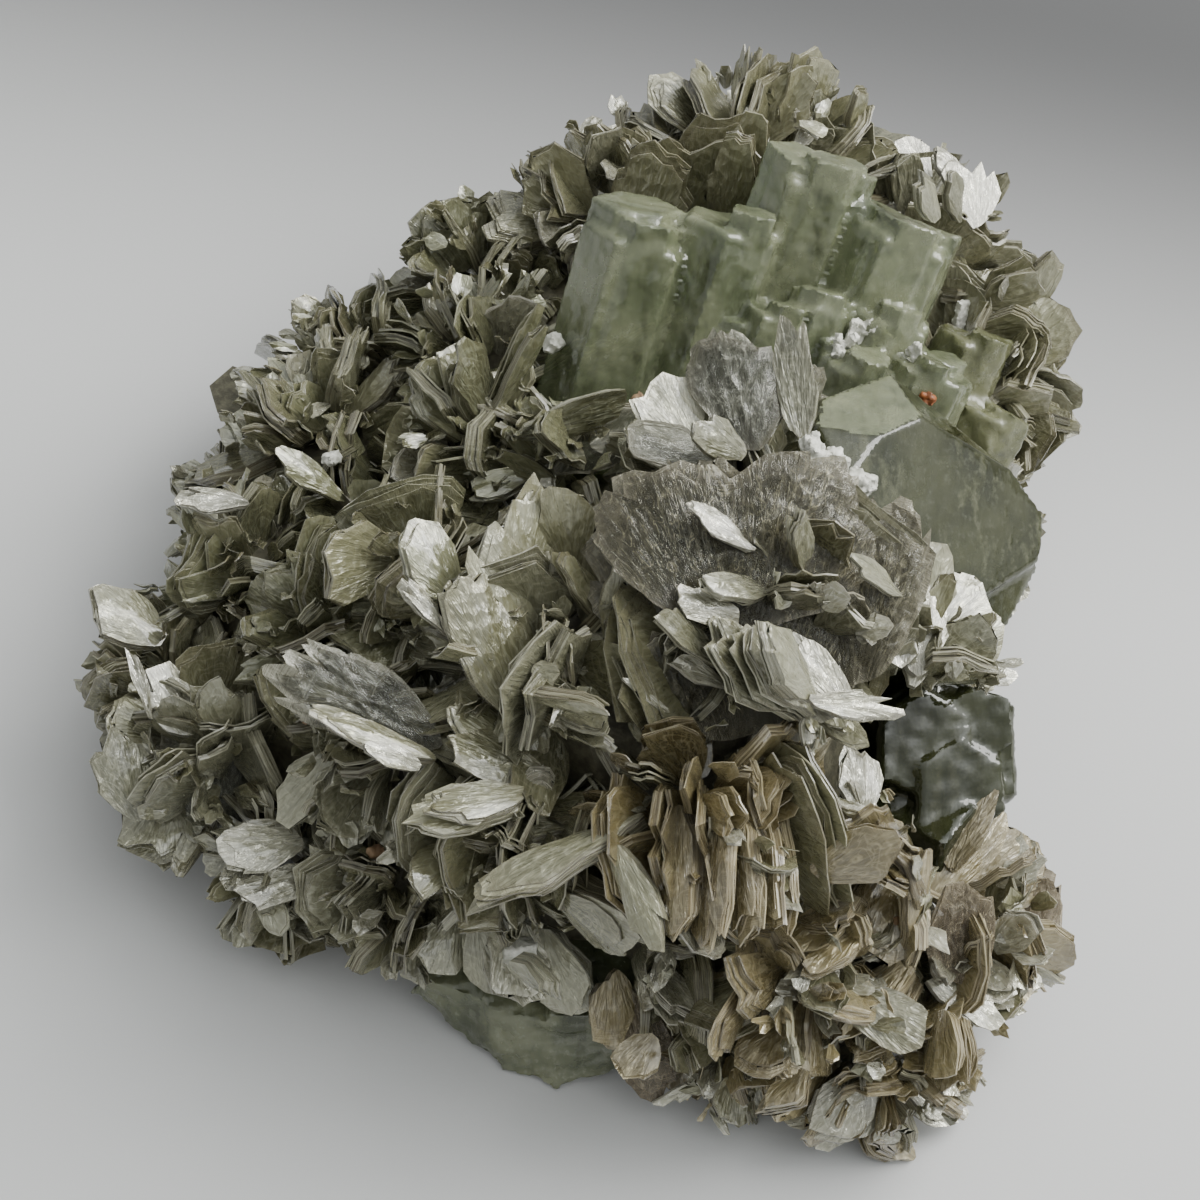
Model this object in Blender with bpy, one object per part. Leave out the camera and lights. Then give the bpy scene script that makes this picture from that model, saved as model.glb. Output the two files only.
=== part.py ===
"""Aquamarine on muscovite: a cabinet specimen of grown-together crystals.

A lumpy bed of muscovite mica, trimmed flat underneath, carries rosettes of
mica books on its top and on every flank.  Short, pale green aquamarine prisms
stand between the rosettes.  Metres, +Z up; the origin is on the flat base.
Lengths in the layout lists below are millimetres.
"""
import math
import random

import bmesh
import bpy
from mathutils import Matrix, Vector

# ---------------------------------------------------------------- dimensions
MM = 0.001
CONTACT_GAP = 0.3            # left between two crystals that touch
BOOK_THICKNESS = 1.0         # a muscovite book, across its layers
ROOT_BREADTH = 0.6           # a book's width at its root, as a share of its widest
WAIST_SHARE = 0.6            # where a book is widest, from root to tip
TIP_BREADTH = 0.55           # a book's width at its tip, as a share of its widest
CORE_SHARE = 0.58            # a rosette's solid heart, as a share of its radius
ROOT_SHARE = 0.3             # where a book's root starts, as a share of that radius
BED_FACETS = 3               # subdivisions of the bed's surface
BED_ROUGHNESS = 1.3          # height of the small bumps on the bed
FLOOR_CLEARANCE = 0.05       # rosettes end this far above the base plane

# The bed, as overlapping mounds: centre and half-sizes.
BED_CENTRE = (0, 0, 12)
BED_MOUNDS = [
    ("body", (-2, 4, 8), (37, 38, 17)),
    ("summit", (8, -13, 18), (20, 18, 24)),
    ("crown_ridge", (10, 38, 13), (28, 14, 20)),
    ("west_ridge", (-24, 2, 9), (19, 24, 16)),
    ("northwest_ridge", (-26, 28, 8), (13, 16, 13)),
    ("east_shoulder", (25, 16, 11), (14, 20, 17)),
    ("south_foot", (18, -32, 8), (17, 11, 17)),
]

# Short books that grow straight from the bed wherever it shows.
BED_BOOK_SITES = 90
BED_BOOK_LENGTH = 7.5
BED_BOOK_SPACING = 0.8       # kept off a rosette's heart, as a share of its radius
BED_BOOK_SEED = 7

# Muscovite rosettes: name, heart, outward axis, radius, habit, books, seed.
ROSETTES = [
    ("crown_rosette_west", (2, 47, 25), (-0.25, 0.5, 0.85), 15, "fan", 5, 11),
    ("crown_rosette_peak", (18, 50, 28), (0.1, 0.5, 0.85), 17, "fan", 6, 12),
    ("crown_rosette_east", (33, 43, 23), (0.35, 0.4, 0.8), 15, "rose", 5, 13),
    ("east_rosette_upper", (39, 29, 20), (0.8, 0.3, 0.5), 14, "burst", 6, 14),
    ("east_rosette_lower", (36, 15, 15), (0.8, 0, 0.6), 12, "burst", 5, 15),
    ("north_rosette", (-12, 43, 18), (-0.4, 0.5, 0.75), 14, "burst", 5, 16),
    ("north_rosette_inner", (-12, 28, 24), (-0.2, 0.1, 1), 13, "burst", 5, 17),
    ("northwest_book", (-27, 34, 14), (-0.55, 0.5, 0.65), 13, "sheaf", 4, 18),
    ("nested_rosette", (-12, 13, 27), (-0.1, -0.3, 0.95), 12, "rose", 5, 19),
    ("northwest_rosette", (-28, 21, 19), (-0.5, 0.2, 0.85), 14, "burst", 5, 20),
    ("west_crest_book", (-37, 19, 11), (-0.8, 0.3, 0.5), 11, "burst", 5, 21),
    ("west_rosette", (-35, 5, 17), (-0.6, 0, 0.8), 13, "burst", 5, 22),
    ("far_west_rosette", (-43, -3, 10), (-0.85, -0.1, 0.5), 11, "rose", 5, 23),
    ("west_fan", (-26, -6, 23), (-0.4, -0.4, 0.8), 12, "burst", 5, 24),
    ("lobed_rosette", (-16, -4, 29), (-0.3, -0.3, 0.9), 13, "rose", 4, 25),
    ("crossed_blades", (-3, 9, 31), (-0.1, 0.1, 1), 13, "burst", 4, 47),
    ("standing_plates", (14, 3, 36), (0, -0.1, 1), 14, "fan", 3, 27),
    ("summit_rosette", (15, -16, 38), (0.1, -0.45, 0.85), 18, "rose", 6, 28),
    ("left_summit_rosette", (-4, -17, 34), (-0.35, -0.5, 0.8), 15, "rose", 4, 29),
    ("ear_plates", (28, -16, 32), (0.75, -0.35, 0.6), 12, "fan", 3, 30),
    ("west_discs", (-38, -13, 12), (-0.6, -0.6, 0.55), 13, "rose", 4, 31),
    ("silver_foot_book", (-30, -23, 9), (-0.5, -0.75, 0.45), 10, "rose", 4, 32),
    ("leaf_rosette", (-20, -17, 23), (-0.4, -0.65, 0.65), 12, "burst", 5, 33),
    ("southwest_rosette", (-19, -27, 12), (-0.35, -0.8, 0.45), 10, "sheaf", 4, 34),
    ("front_sheaf", (-8, -28, 25), (-0.3, -0.75, 0.6), 12, "sheaf", 4, 35),
    ("front_books", (3, -35, 15), (-0.1, -0.9, 0.4), 11, "sheaf", 4, 36),
    ("front_foot_rosette", (-8, -37, 14), (-0.3, -0.9, 0.3), 9, "rose", 4, 37),
    ("compressed_folds", (10, -31, 32), (0.05, -0.8, 0.6), 13, "sheaf", 5, 38),
    ("golden_rosette", (18, -38, 19), (0.2, -0.85, 0.45), 13, "burst", 5, 39),
    ("southeast_rosette", (29, -30, 25), (0.5, -0.6, 0.6), 12, "burst", 5, 40),
    ("brown_rosette", (34, -32, 13), (0.7, -0.65, 0.3), 12, "rose", 5, 41),
    ("south_tip_rosette", (27, -42, 8), (0.35, -0.9, 0.25), 12, "burst", 5, 42),
    ("dark_foot_rosette", (13, -40, 8), (0.0, -0.95, 0.3), 10, "burst", 5, 43),
    ("back_rosette_east", (24, 48, 10), (0.3, 0.9, 0.25), 14, "burst", 5, 44),
    ("back_rosette_west", (-4, 46, 9), (-0.2, 0.9, 0.25), 14, "rose", 5, 45),
    ("east_foot_rosette", (32, 1, 8), (0.95, 0, 0.3), 10, "rose", 5, 46),
]

# Large single books that stand out of their rosette: root, tip, width, facing.
FEATURE_BOOKS = {
    "standing_plates": [
        ((13, 2, 35), (13, 13, 50), 12, (0, -0.8, 0.6)),
        ((18, 3, 36), (19, 14, 49), 6, (0.5, -0.7, 0.5)),
    ],
    "crossed_blades": [
        ((-4, 9, 32), (-6, 23, 40), 7, (0.9, 0.1, 0)),
        ((-6, 9, 32), (9, 17, 43), 6, (-0.5, 0.85, 0)),
    ],
    "summit_rosette": [((14, -19, 39), (13, -2, 51), 25, (0, -0.6, 0.8))],
    "left_summit_rosette": [((-3, -16, 35), (-5, -3, 45), 11, (-0.2, -0.6, 0.8))],
    "crown_rosette_east": [((37, 43, 26), (43, 49, 37), 10, (0.2, -0.6, 0.8))],
    "ear_plates": [((27, -17, 33), (34, -10, 44), 11, (0.5, -0.4, 0.75))],
    "lobed_rosette": [((-14, -6, 31), (-22, -7, 39), 10, (0, -0.5, 0.85))],
    "west_discs": [((-36, -14, 14), (-50, -15, 15), 13, (-0.1, -0.7, 0.7))],
}

# Hexagonal aquamarine prisms: foot and top, radius, and a face's direction.
UPPER_PRISMS = [
    ((-2, 17, 24), (5, 31, 45), 6.6, (0, -0.9, 0.5)),
    ((6, 18, 24), (14, 31.5, 46), 5.8, (0.4, -0.9, 0.5)),
    ((14, 23, 22), (23, 37.5, 47), 6.4, (-0.1, -0.9, 0.5)),
    ((22, 20, 22), (31, 33, 44), 7.2, (0.2, -0.9, 0.5)),
    ((12, 14, 26), (18.5, 24, 40), 4.4, (0, -0.9, 0.5)),
    ((19, 10, 24), (26, 18.5, 39), 4.6, (0.4, -0.9, 0.5)),
    ((27, 10, 22), (34, 19, 38), 5.0, (0, -0.9, 0.5)),
]
GREAT_PRISM = ((34, -2, 22), (19, 6, 38), 12, (0.57, -0.41, 0.71))
DARK_PRISMS = [
    ((30, -11, 12), (33, -21, 26), 9.0, (0.3, -0.3, 0.9)),
    ((24, -18, 16), (36, -26, 18), 7.0, (0.3, -0.3, 0.9)),
]
FOOT_PRISM = ((8, -33, 5.5), (-14, -35, 5.5), 6.4, (0, -0.8, 0.6))
TOP_BEVEL = 0.14             # bevel round a prism's free end, as a share of its radius

MICA = ("muscovite", (0.36, 0.33, 0.24), 0.35, 0.0)
MATRIX = ("muscovite_bed", (0.22, 0.21, 0.15), 0.6, 0.0)
BERYL = ("aquamarine", (0.42, 0.50, 0.42), 0.15, 0.0)


# ------------------------------------------------------------------- helpers
def clear_scene():
    for obj in list(bpy.data.objects):
        bpy.data.objects.remove(obj, do_unlink=True)


def material(spec):
    """One Principled material of the given name, colour, roughness and metallic."""
    name, colour, roughness, metallic = spec
    made = bpy.data.materials.get(name) or bpy.data.materials.new(name)
    made.use_nodes = True
    shader = made.node_tree.nodes["Principled BSDF"]
    shader.inputs["Base Color"].default_value = (*colour, 1)
    shader.inputs["Roughness"].default_value = roughness
    shader.inputs["Metallic"].default_value = metallic
    return made


def object_from(bm, name):
    """Link a bmesh, built in millimetres, as an object in metres."""
    bmesh.ops.recalc_face_normals(bm, faces=bm.faces)
    bm.transform(Matrix.Scale(MM, 4))
    mesh = bpy.data.meshes.new(name)
    bm.to_mesh(mesh)
    bm.free()
    obj = bpy.data.objects.new(name, mesh)
    bpy.context.collection.objects.link(obj)
    return obj


def guide_from(bm, name):
    """An object that only shapes others: hidden, drawn as wire."""
    obj = object_from(bm, name)
    obj.hide_render = True
    obj.display_type = "WIRE"
    return obj


def combine(obj, tool, operation, self_overlaps=False):
    """Apply one exact Boolean of obj with tool, leaving plain mesh behind."""
    step = obj.modifiers.new(operation.lower(), "BOOLEAN")
    step.solver = "EXACT"
    step.operation = operation
    step.object = tool
    step.use_self = self_overlaps
    bpy.context.view_layer.update()
    graph = bpy.context.evaluated_depsgraph_get()
    mesh = bpy.data.meshes.new_from_object(obj.evaluated_get(graph))
    obj.modifiers.clear()
    old = obj.data
    obj.data = mesh
    bpy.data.meshes.remove(old)


def islands_of(bm):
    """The connected groups of faces in a mesh."""
    left = set(bm.faces)
    groups = []
    while left:
        stack = [left.pop()]
        group = set(stack)
        while stack:
            face = stack.pop()
            for edge in face.edges:
                for other in edge.link_faces:
                    if other in left:
                        left.discard(other)
                        group.add(other)
                        stack.append(other)
        groups.append(group)
    return groups


def group_volume(group):
    """Volume that a closed group of triangles or flat polygons holds."""
    total = 0.0
    for face in group:
        first = face.verts[0].co
        for a, b in zip(face.verts[1:-1], face.verts[2:]):
            total += first.dot(a.co.cross(b.co)) / 6
    return total


def tidy_solid(obj):
    """Keep the one main body of a cut solid, with plain triangles."""
    bm = bmesh.new()
    bm.from_mesh(obj.data)
    bmesh.ops.remove_doubles(bm, verts=bm.verts, dist=0.002 * MM)
    bmesh.ops.dissolve_degenerate(bm, edges=bm.edges, dist=0.002 * MM)
    groups = sorted(islands_of(bm), key=group_volume)
    for group in groups[:-1]:
        bmesh.ops.delete(bm, geom=list(group), context="FACES")
    bmesh.ops.dissolve_limit(
        bm, angle_limit=math.radians(0.2), verts=bm.verts, edges=bm.edges)
    bmesh.ops.triangulate(bm, faces=bm.faces)
    bm.to_mesh(obj.data)
    bm.free()


def touches(a, b):
    """Whether the world boxes of two objects meet."""
    boxes = []
    for obj in (a, b):
        corners = [obj.matrix_world @ Vector(c) for c in obj.bound_box]
        low = [min(c[i] for c in corners) for i in range(3)]
        high = [max(c[i] for c in corners) for i in range(3)]
        boxes.append((low, high))
    (low_a, high_a), (low_b, high_b) = boxes
    return all(low_a[i] < high_b[i] and low_b[i] < high_a[i] for i in range(3))


# ----------------------------------------------------------------------- bed
def mound_reach(centre, half, start, direction):
    """How far a ray from start runs before it leaves one mound."""
    scaled_start = Vector([(s - c) / h for s, c, h in zip(start, centre, half)])
    scaled_dir = Vector([d / h for d, h in zip(direction, half)])
    a = scaled_dir.dot(scaled_dir)
    b = 2 * scaled_start.dot(scaled_dir)
    c = scaled_start.dot(scaled_start) - 1
    root = b * b - 4 * a * c
    if root <= 0:
        return 0.0
    return (-b + math.sqrt(root)) / (2 * a)


def bed_ripple(direction):
    """Small rounded bumps over the bed, from crossed waves."""
    x, y, z = direction
    waves = math.sin(7 * x + 3 * z) * math.cos(6 * y - 2) + 0.6 * math.sin(11 * z + 9 * y + 4 * x)
    return BED_ROUGHNESS * waves


def bed_surface(direction):
    """The point where the bed ends, straight out from BED_CENTRE."""
    start = Vector(BED_CENTRE)
    reach = max(mound_reach(c, h, start, direction) for _, c, h in BED_MOUNDS)
    return start + direction * (reach + bed_ripple(direction))


def bed_books():
    """Short books on the open ground between rosettes, spaced round a spiral."""
    rng = random.Random(BED_BOOK_SEED)
    golden_turn = math.pi * (3 - math.sqrt(5))
    for k in range(BED_BOOK_SITES):
        height = 1 - 1.55 * (k + 0.5) / BED_BOOK_SITES
        level = math.sqrt(1 - height * height)
        direction = Vector((level * math.cos(k * golden_turn), level * math.sin(k * golden_turn), height))
        place = bed_surface(direction)
        lean = Vector((rng.uniform(-1, 1), rng.uniform(-1, 1), rng.uniform(-0.3, 0.6)))
        facing = Vector((rng.uniform(-1, 1), rng.uniform(-1, 1), rng.uniform(-1, 1)))
        size = BED_BOOK_LENGTH * rng.uniform(0.8, 1.2)
        too_near = any((place - Vector(h)).length < BED_BOOK_SPACING * r for _, h, _, r, *_ in ROSETTES)
        if too_near or place.z < 0.6 * size:
            continue
        along = direction + 0.6 * lean
        yield Book(place - along.normalized() * 0.3 * size, along, facing, 1.3 * size, size, 0)


def bed_mesh(grow):
    """The mounds as one closed skin, with the short books set into it."""
    bm = bmesh.new()
    bmesh.ops.create_icosphere(bm, subdivisions=BED_FACETS, radius=1)
    for vert in bm.verts:
        vert.co = bed_surface(vert.co.normalized())
    bm.normal_update()
    offsets = [(vert, vert.normal * grow) for vert in bm.verts]
    for vert, shift in offsets:
        vert.co += shift
    for book in bed_books():
        book.add_to(bm, grow)
    return bm


def half_space(height):
    """A block that holds everything above one level."""
    bm = bmesh.new()
    size = 4 * BED_MOUNDS[0][2][0]
    middle = Matrix.Translation((0, 0, height + 0.5 * size))
    bmesh.ops.create_cube(bm, size=size, matrix=middle)
    return guide_from(bm, "half_space")


# ---------------------------------------------------------------- aquamarine
def add_hull(bm, points):
    """Add the convex body with the given corner points."""
    verts = [bm.verts.new(p) for p in points]
    bmesh.ops.convex_hull(bm, input=verts)


def add_prism(bm, foot, top, radius, face, grow):
    """Add a six-sided prism, bevelled round its free end; face looks out of one side."""
    foot, top = Vector(foot), Vector(top)
    axis = (top - foot).normalized()
    out = Vector(face)
    out = (out - axis * out.dot(axis)).normalized()
    across = out.cross(axis)
    wide = radius + 1.2 * grow
    shoulder = top - axis * TOP_BEVEL * radius
    corners = []
    for place, size in ((foot, wide), (shoulder, wide), (top + axis * grow, wide - TOP_BEVEL * radius)):
        for k in range(6):
            angle = math.radians(30 + 60 * k)
            corners.append(place + (out * math.cos(angle) + across * math.sin(angle)) * size)
    add_hull(bm, corners)


def crystal_cluster(name, prisms, grow=0.0):
    """Prisms grown into each other, fused to one body; with grow, their clearance."""
    bm = bmesh.new()
    for prism in prisms:
        add_prism(bm, *prism, grow)
    if grow:
        return guide_from(bm, name + "_clearance")
    return object_from(bm, name)


# ------------------------------------------------------------------ rosettes
class Book:
    """One muscovite book: a thin plate that grows from its root."""

    def __init__(self, root, along, facing, length, width, bend):
        self.root = Vector(root)
        self.along = Vector(along).normalized()
        facing = Vector(facing)
        self.facing = (facing - self.along * facing.dot(self.along)).normalized()
        self.length = length
        self.width = width
        self.bend = bend

    def add_to(self, bm, grow=0.0):
        """Add the plate: it widens, bends and thins to an edge at its tip."""
        across = self.along.cross(self.facing)
        skin = 0.5 * BOOK_THICKNESS + grow
        root, waist = (
            [bm.verts.new(self.root + self.along * self.length * share
                          + self.facing * (self.bend * share * share + skin * sy)
                          + across * (0.5 * self.width * breadth + grow) * sx)
             for sx, sy in ((-1, -1), (1, -1), (1, 1), (-1, 1))]
            for share, breadth in ((0, ROOT_BREADTH), (WAIST_SHARE, 1.0)))
        end = self.root + self.along * (self.length + grow) + self.facing * self.bend
        half = 0.5 * self.width * TIP_BREADTH + grow
        left, right = bm.verts.new(end - across * half), bm.verts.new(end + across * half)
        for k in range(4):
            bm.faces.new((root[k], root[(k + 1) % 4], waist[(k + 1) % 4], waist[k]))
        bm.faces.new(root[::-1])
        bm.faces.new((waist[0], waist[1], right, left))
        bm.faces.new((waist[1], waist[2], right))
        bm.faces.new((waist[2], waist[3], left, right))
        bm.faces.new((waist[3], waist[0], left))


def frame_about(axis):
    """Two directions square to an axis, the first as level as can be."""
    level = Vector((0, 0, 1)).cross(axis)
    if level.length < 0.05:
        level = Vector((1, 0, 0))
    level.normalize()
    return level, axis.cross(level).normalized()


def burst_books(heart, axis, radius, count, rng):
    """Books that stand out from the heart all ways, each with its own roll."""
    level, rise = frame_about(axis)
    for k in range(count):
        turn = 2.4 * k + rng.uniform(-0.3, 0.3)
        tilt = math.radians(12 + 72 * math.sqrt(k / count))
        out = level * math.cos(turn) + rise * math.sin(turn)
        along = axis * math.cos(tilt) + out * math.sin(tilt)
        roll = rng.uniform(-1.2, 1.2)
        facing = axis.cross(out) * math.cos(roll) + (axis * 0.8 - out) * math.sin(roll)
        length = radius * rng.uniform(0.86, 1.04)
        width = radius * rng.uniform(0.6, 0.85)
        yield Book(heart + along * ROOT_SHARE * radius, along, facing,
                   length * (1 - ROOT_SHARE), width, rng.uniform(-1, 1))


def rose_books(heart, axis, radius, count, rng):
    """Cupped books laid round the heart like petals, faces in and out."""
    level, rise = frame_about(axis)
    for k in range(count):
        turn = 2.4 * k + rng.uniform(-0.25, 0.25)
        tilt = math.radians(8 + 74 * math.sqrt(k / count))
        out = level * math.cos(turn) + rise * math.sin(turn)
        along = axis * math.cos(tilt) + out * math.sin(tilt)
        facing = out * math.cos(tilt) - axis * math.sin(tilt)
        length = radius * rng.uniform(0.88, 1.02)
        root = heart + along * ROOT_SHARE * radius + facing * rng.uniform(0, 0.12) * radius
        yield Book(root, along, facing, length * (1 - ROOT_SHARE),
                   radius * rng.uniform(0.8, 1.05), -0.14 * radius)


def fan_books(heart, axis, radius, count, rng):
    """Books opened side by side like the pages of a fan."""
    level, rise = frame_about(axis)
    for k in range(count):
        spread = math.radians(-62 + 124 * k / (count - 1) + rng.uniform(-5, 5))
        lift = rng.uniform(-0.35, 0.35)
        along = axis * math.cos(spread) + level * math.sin(spread) + rise * lift
        facing = level * math.cos(spread) - axis * math.sin(spread) + rise * rng.uniform(-0.7, 0.7)
        root = heart + along * ROOT_SHARE * radius + level * math.sin(spread) * 0.1 * radius
        length = radius * rng.uniform(0.85, 1.05)
        yield Book(root, along, facing, length * (1 - ROOT_SHARE),
                   radius * rng.uniform(0.65, 0.9), rng.uniform(-1, 1))


def sheaf_books(heart, axis, radius, count, rng):
    """A bundle of nearly parallel books, standing on edge, fanned a little."""
    level, rise = frame_about(axis)
    slant = rng.uniform(-0.6, 0.6)
    stack = (level * math.cos(slant) + rise * math.sin(slant)).normalized()
    for k in range(count):
        step = k / (count - 1) - 0.5
        along = axis + stack * 1.3 * step + rise * rng.uniform(-0.15, 0.15)
        facing = stack - axis * 1.3 * step + rise * rng.uniform(-0.25, 0.25)
        root = heart + stack * step * radius * 0.7
        length = radius * rng.uniform(0.9, 1.05) * (1 - 0.25 * abs(step))
        yield Book(root, along, facing, length, radius * rng.uniform(1.0, 1.3), rng.uniform(-1, 1))


HABITS = {"burst": burst_books, "rose": rose_books, "fan": fan_books, "sheaf": sheaf_books}


def rosette_body(name, heart, axis, radius, habit, count, seed):
    """A rosette's books and solid heart, still overlapping one another."""
    bm = bmesh.new()
    heart = Vector(heart)
    axis = Vector(axis).normalized()
    core = Matrix.Translation(heart)
    bmesh.ops.create_icosphere(bm, subdivisions=1, radius=CORE_SHARE * radius, matrix=core)
    for book in HABITS[habit](heart, axis, radius, count, random.Random(seed)):
        book.add_to(bm)
    for root, tip, width, facing in FEATURE_BOOKS.get(name, []):
        along = Vector(tip) - Vector(root)
        Book(root, along, facing, along.length, width, 0).add_to(bm)
    return object_from(bm, name)


def growing_room(index):
    """The convex cell in which one rosette could grow, between its neighbours."""
    _, heart, _, radius, *_ = ROSETTES[index]
    heart = Vector(heart)
    bm = bmesh.new()
    bmesh.ops.create_cube(bm, size=4 * radius, matrix=Matrix.Translation(heart))
    planes = [(Vector((0, 0, FLOOR_CLEARANCE)), Vector((0, 0, -1)))]
    for other, (_, place, _, reach, *_) in enumerate(ROSETTES):
        apart = Vector(place) - heart
        if other == index or apart.length > radius + reach:
            continue
        share = 0.5 + (radius ** 2 - reach ** 2) / (2 * apart.length_squared)
        normal = apart.normalized()
        planes.append((heart + apart * share - normal * 0.5 * CONTACT_GAP, normal))
    for point, normal in planes:
        cut = bmesh.ops.bisect_plane(
            bm, geom=bm.verts[:] + bm.edges[:] + bm.faces[:], plane_co=point,
            plane_no=normal, clear_outer=True)
        rim = [e for e in cut["geom_cut"] if isinstance(e, bmesh.types.BMEdge)]
        if rim:
            bmesh.ops.holes_fill(bm, edges=rim, sides=0)
    return guide_from(bm, "growing_room")


# --------------------------------------------------------------------- build
def build():
    clear_scene()
    above_base = half_space(0)
    above_floor = half_space(FLOOR_CLEARANCE)
    clusters = [
        ("aquamarine_cluster", UPPER_PRISMS + [GREAT_PRISM]),
        ("aquamarine_dark_crystals", DARK_PRISMS),
        ("aquamarine_foot_crystal", [FOOT_PRISM]),
    ]
    room_for_beryl = [crystal_cluster(name, prisms, CONTACT_GAP) for name, prisms in clusters]
    bed = object_from(bed_mesh(0), "muscovite_bed")
    combine(bed, above_base, "INTERSECT", self_overlaps=True)
    for tool in room_for_beryl:
        combine(bed, tool, "DIFFERENCE", self_overlaps=True)
    tidy_solid(bed)
    bed.data.materials.append(material(MATRIX))
    room_for_bed = guide_from(bed_mesh(1.2 * CONTACT_GAP), "bed_clearance")

    for index, (name, prisms) in enumerate(clusters):
        crystal = crystal_cluster(name, prisms)
        combine(crystal, above_floor, "INTERSECT", self_overlaps=True)
        for tool in room_for_beryl[:index]:
            if touches(crystal, tool):
                combine(crystal, tool, "DIFFERENCE", self_overlaps=True)
        tidy_solid(crystal)
        crystal.data.materials.append(material(BERYL))
    for index, entry in enumerate(ROSETTES):
        rosette = rosette_body(*entry)
        cell = growing_room(index)
        combine(rosette, cell, "INTERSECT", self_overlaps=True)
        bpy.data.objects.remove(cell, do_unlink=True)
        combine(rosette, room_for_bed, "DIFFERENCE", self_overlaps=True)
        for tool in room_for_beryl:
            if touches(rosette, tool):
                combine(rosette, tool, "DIFFERENCE", self_overlaps=True)
        tidy_solid(rosette)
        rosette.data.materials.append(material(MICA))
    for guide in room_for_beryl + [room_for_bed, above_base, above_floor]:
        bpy.data.objects.remove(guide, do_unlink=True)


build()
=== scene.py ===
import itertools
import math
import random

import bmesh
import bpy
import numpy as np
from mathutils import Euler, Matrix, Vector
from mathutils.noise import fractal


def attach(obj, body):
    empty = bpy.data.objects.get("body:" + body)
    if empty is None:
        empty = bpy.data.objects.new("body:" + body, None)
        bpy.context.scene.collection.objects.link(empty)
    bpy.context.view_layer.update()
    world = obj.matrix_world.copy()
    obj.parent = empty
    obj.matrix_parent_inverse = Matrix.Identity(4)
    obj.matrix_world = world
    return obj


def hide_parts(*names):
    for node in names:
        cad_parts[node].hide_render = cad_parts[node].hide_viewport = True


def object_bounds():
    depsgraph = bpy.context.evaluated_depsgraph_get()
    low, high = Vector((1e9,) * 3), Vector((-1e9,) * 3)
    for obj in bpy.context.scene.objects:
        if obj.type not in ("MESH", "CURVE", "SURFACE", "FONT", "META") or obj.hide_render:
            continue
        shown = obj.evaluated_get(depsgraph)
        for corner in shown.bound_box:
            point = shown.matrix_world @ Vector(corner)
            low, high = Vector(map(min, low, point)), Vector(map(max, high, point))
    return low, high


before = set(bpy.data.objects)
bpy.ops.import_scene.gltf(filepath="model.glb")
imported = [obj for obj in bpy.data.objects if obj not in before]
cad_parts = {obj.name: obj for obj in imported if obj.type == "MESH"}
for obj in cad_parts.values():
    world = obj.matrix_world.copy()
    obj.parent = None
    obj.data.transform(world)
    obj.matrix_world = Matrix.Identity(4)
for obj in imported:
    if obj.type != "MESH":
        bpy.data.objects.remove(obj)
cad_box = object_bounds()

# ------------------------------------------------------------------ the stand
# The specimen rests on a sheet of pale matt paper that runs off on every side;
# its colour is darkened towards the back as painted shade.  It is looked down on
# from the front, 55 degrees above the level, 27 cm away.
MM = 0.001
VIEW_ELEVATION = math.radians(55)
VIEW_DISTANCE = 270 * MM
VIEW_CENTRE = Vector((0, 0, 22 * MM))
TOWARDS_VIEW = Vector((0, -math.cos(VIEW_ELEVATION), math.sin(VIEW_ELEVATION)))
PAPER_HALF = 1200 * MM
# The paper's pale colour, and the painted shade it darkens to towards the back.
PAPER_PALE, PAPER_PAINTED_SHADE = (0.50, 0.50, 0.50), (0.075, 0.075, 0.077)
PAINTED_SHADE_START = (7 * MM, 21 * MM, 0)
PAINTED_SHADE_TURN = math.radians(72)
PAINTED_SHADE_LENGTH = 100 * MM

camera_data = bpy.data.cameras.new("view")
camera_data.sensor_width = 36
camera_data.lens = 81
camera_data.clip_start = 10 * MM
camera = bpy.data.objects.new("view", camera_data)
camera.location = VIEW_CENTRE + TOWARDS_VIEW * VIEW_DISTANCE
camera.rotation_euler = TOWARDS_VIEW.to_track_quat("Z", "Y").to_euler()
bpy.context.collection.objects.link(camera)
bpy.context.scene.camera = camera


class Output:
    """A shader node's output; its sums, products and powers are Math nodes."""

    def __init__(self, socket):
        self.socket, self.tree = socket, socket.id_data

    def __add__(self, other):
        return maths("ADD", self, other)

    def __sub__(self, other):
        return maths("SUBTRACT", self, other)

    def __rsub__(self, other):
        return maths("SUBTRACT", other, self)

    def __mul__(self, other):
        return maths("MULTIPLY", self, other)

    def __pow__(self, other):
        return maths("POWER", self, other)

    def __abs__(self):
        return maths("ABSOLUTE", self)

    def clamped(self):
        """The same output, kept between 0 and 1."""
        self.socket.node.use_clamp = True
        return self


def feed(socket, value):
    """Give a socket a number, three numbers or another node's output."""
    if isinstance(value, Output):
        value.tree.links.new(value.socket, socket)
    elif isinstance(value, tuple) and socket.type == "RGBA":
        socket.default_value = (*value, 1)
    else:
        socket.default_value = value


def added(tree, kind, sockets, taken=0, **settings):
    """Add a shader node, fed by name or number; returns the output taken, or several."""
    node = tree.nodes.new("ShaderNode" + kind)
    for setting, value in settings.items():
        setattr(node, setting, value)
    for label, value in sockets.items():
        feed(node.inputs[label], value)
    if isinstance(taken, tuple):
        return [Output(node.outputs[label]) for label in taken]
    return Output(node.outputs[taken])


def maths(operation, first, second=0.0):
    """A Math node between two outputs, or an output and a number."""
    tree = first.tree if isinstance(first, Output) else second.tree
    return added(tree, "Math", {0: first, 1: second}, operation=operation)


def blended(share, first, second):
    """Two colours mixed by a share; each is an output or three numbers."""
    sockets = {"Factor": share, "A": first, "B": second}
    return added(share.tree, "Mix", sockets, "Result", data_type="RGBA")


def noise(place, scale, detail=3.0, roughness=0.55, distortion=0.0):
    """A noise between 0 and 1."""
    return added(place.tree, "TexNoise", {"Vector": place, "Scale": scale, "Detail": detail,
                                          "Roughness": roughness, "Distortion": distortion})


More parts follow.
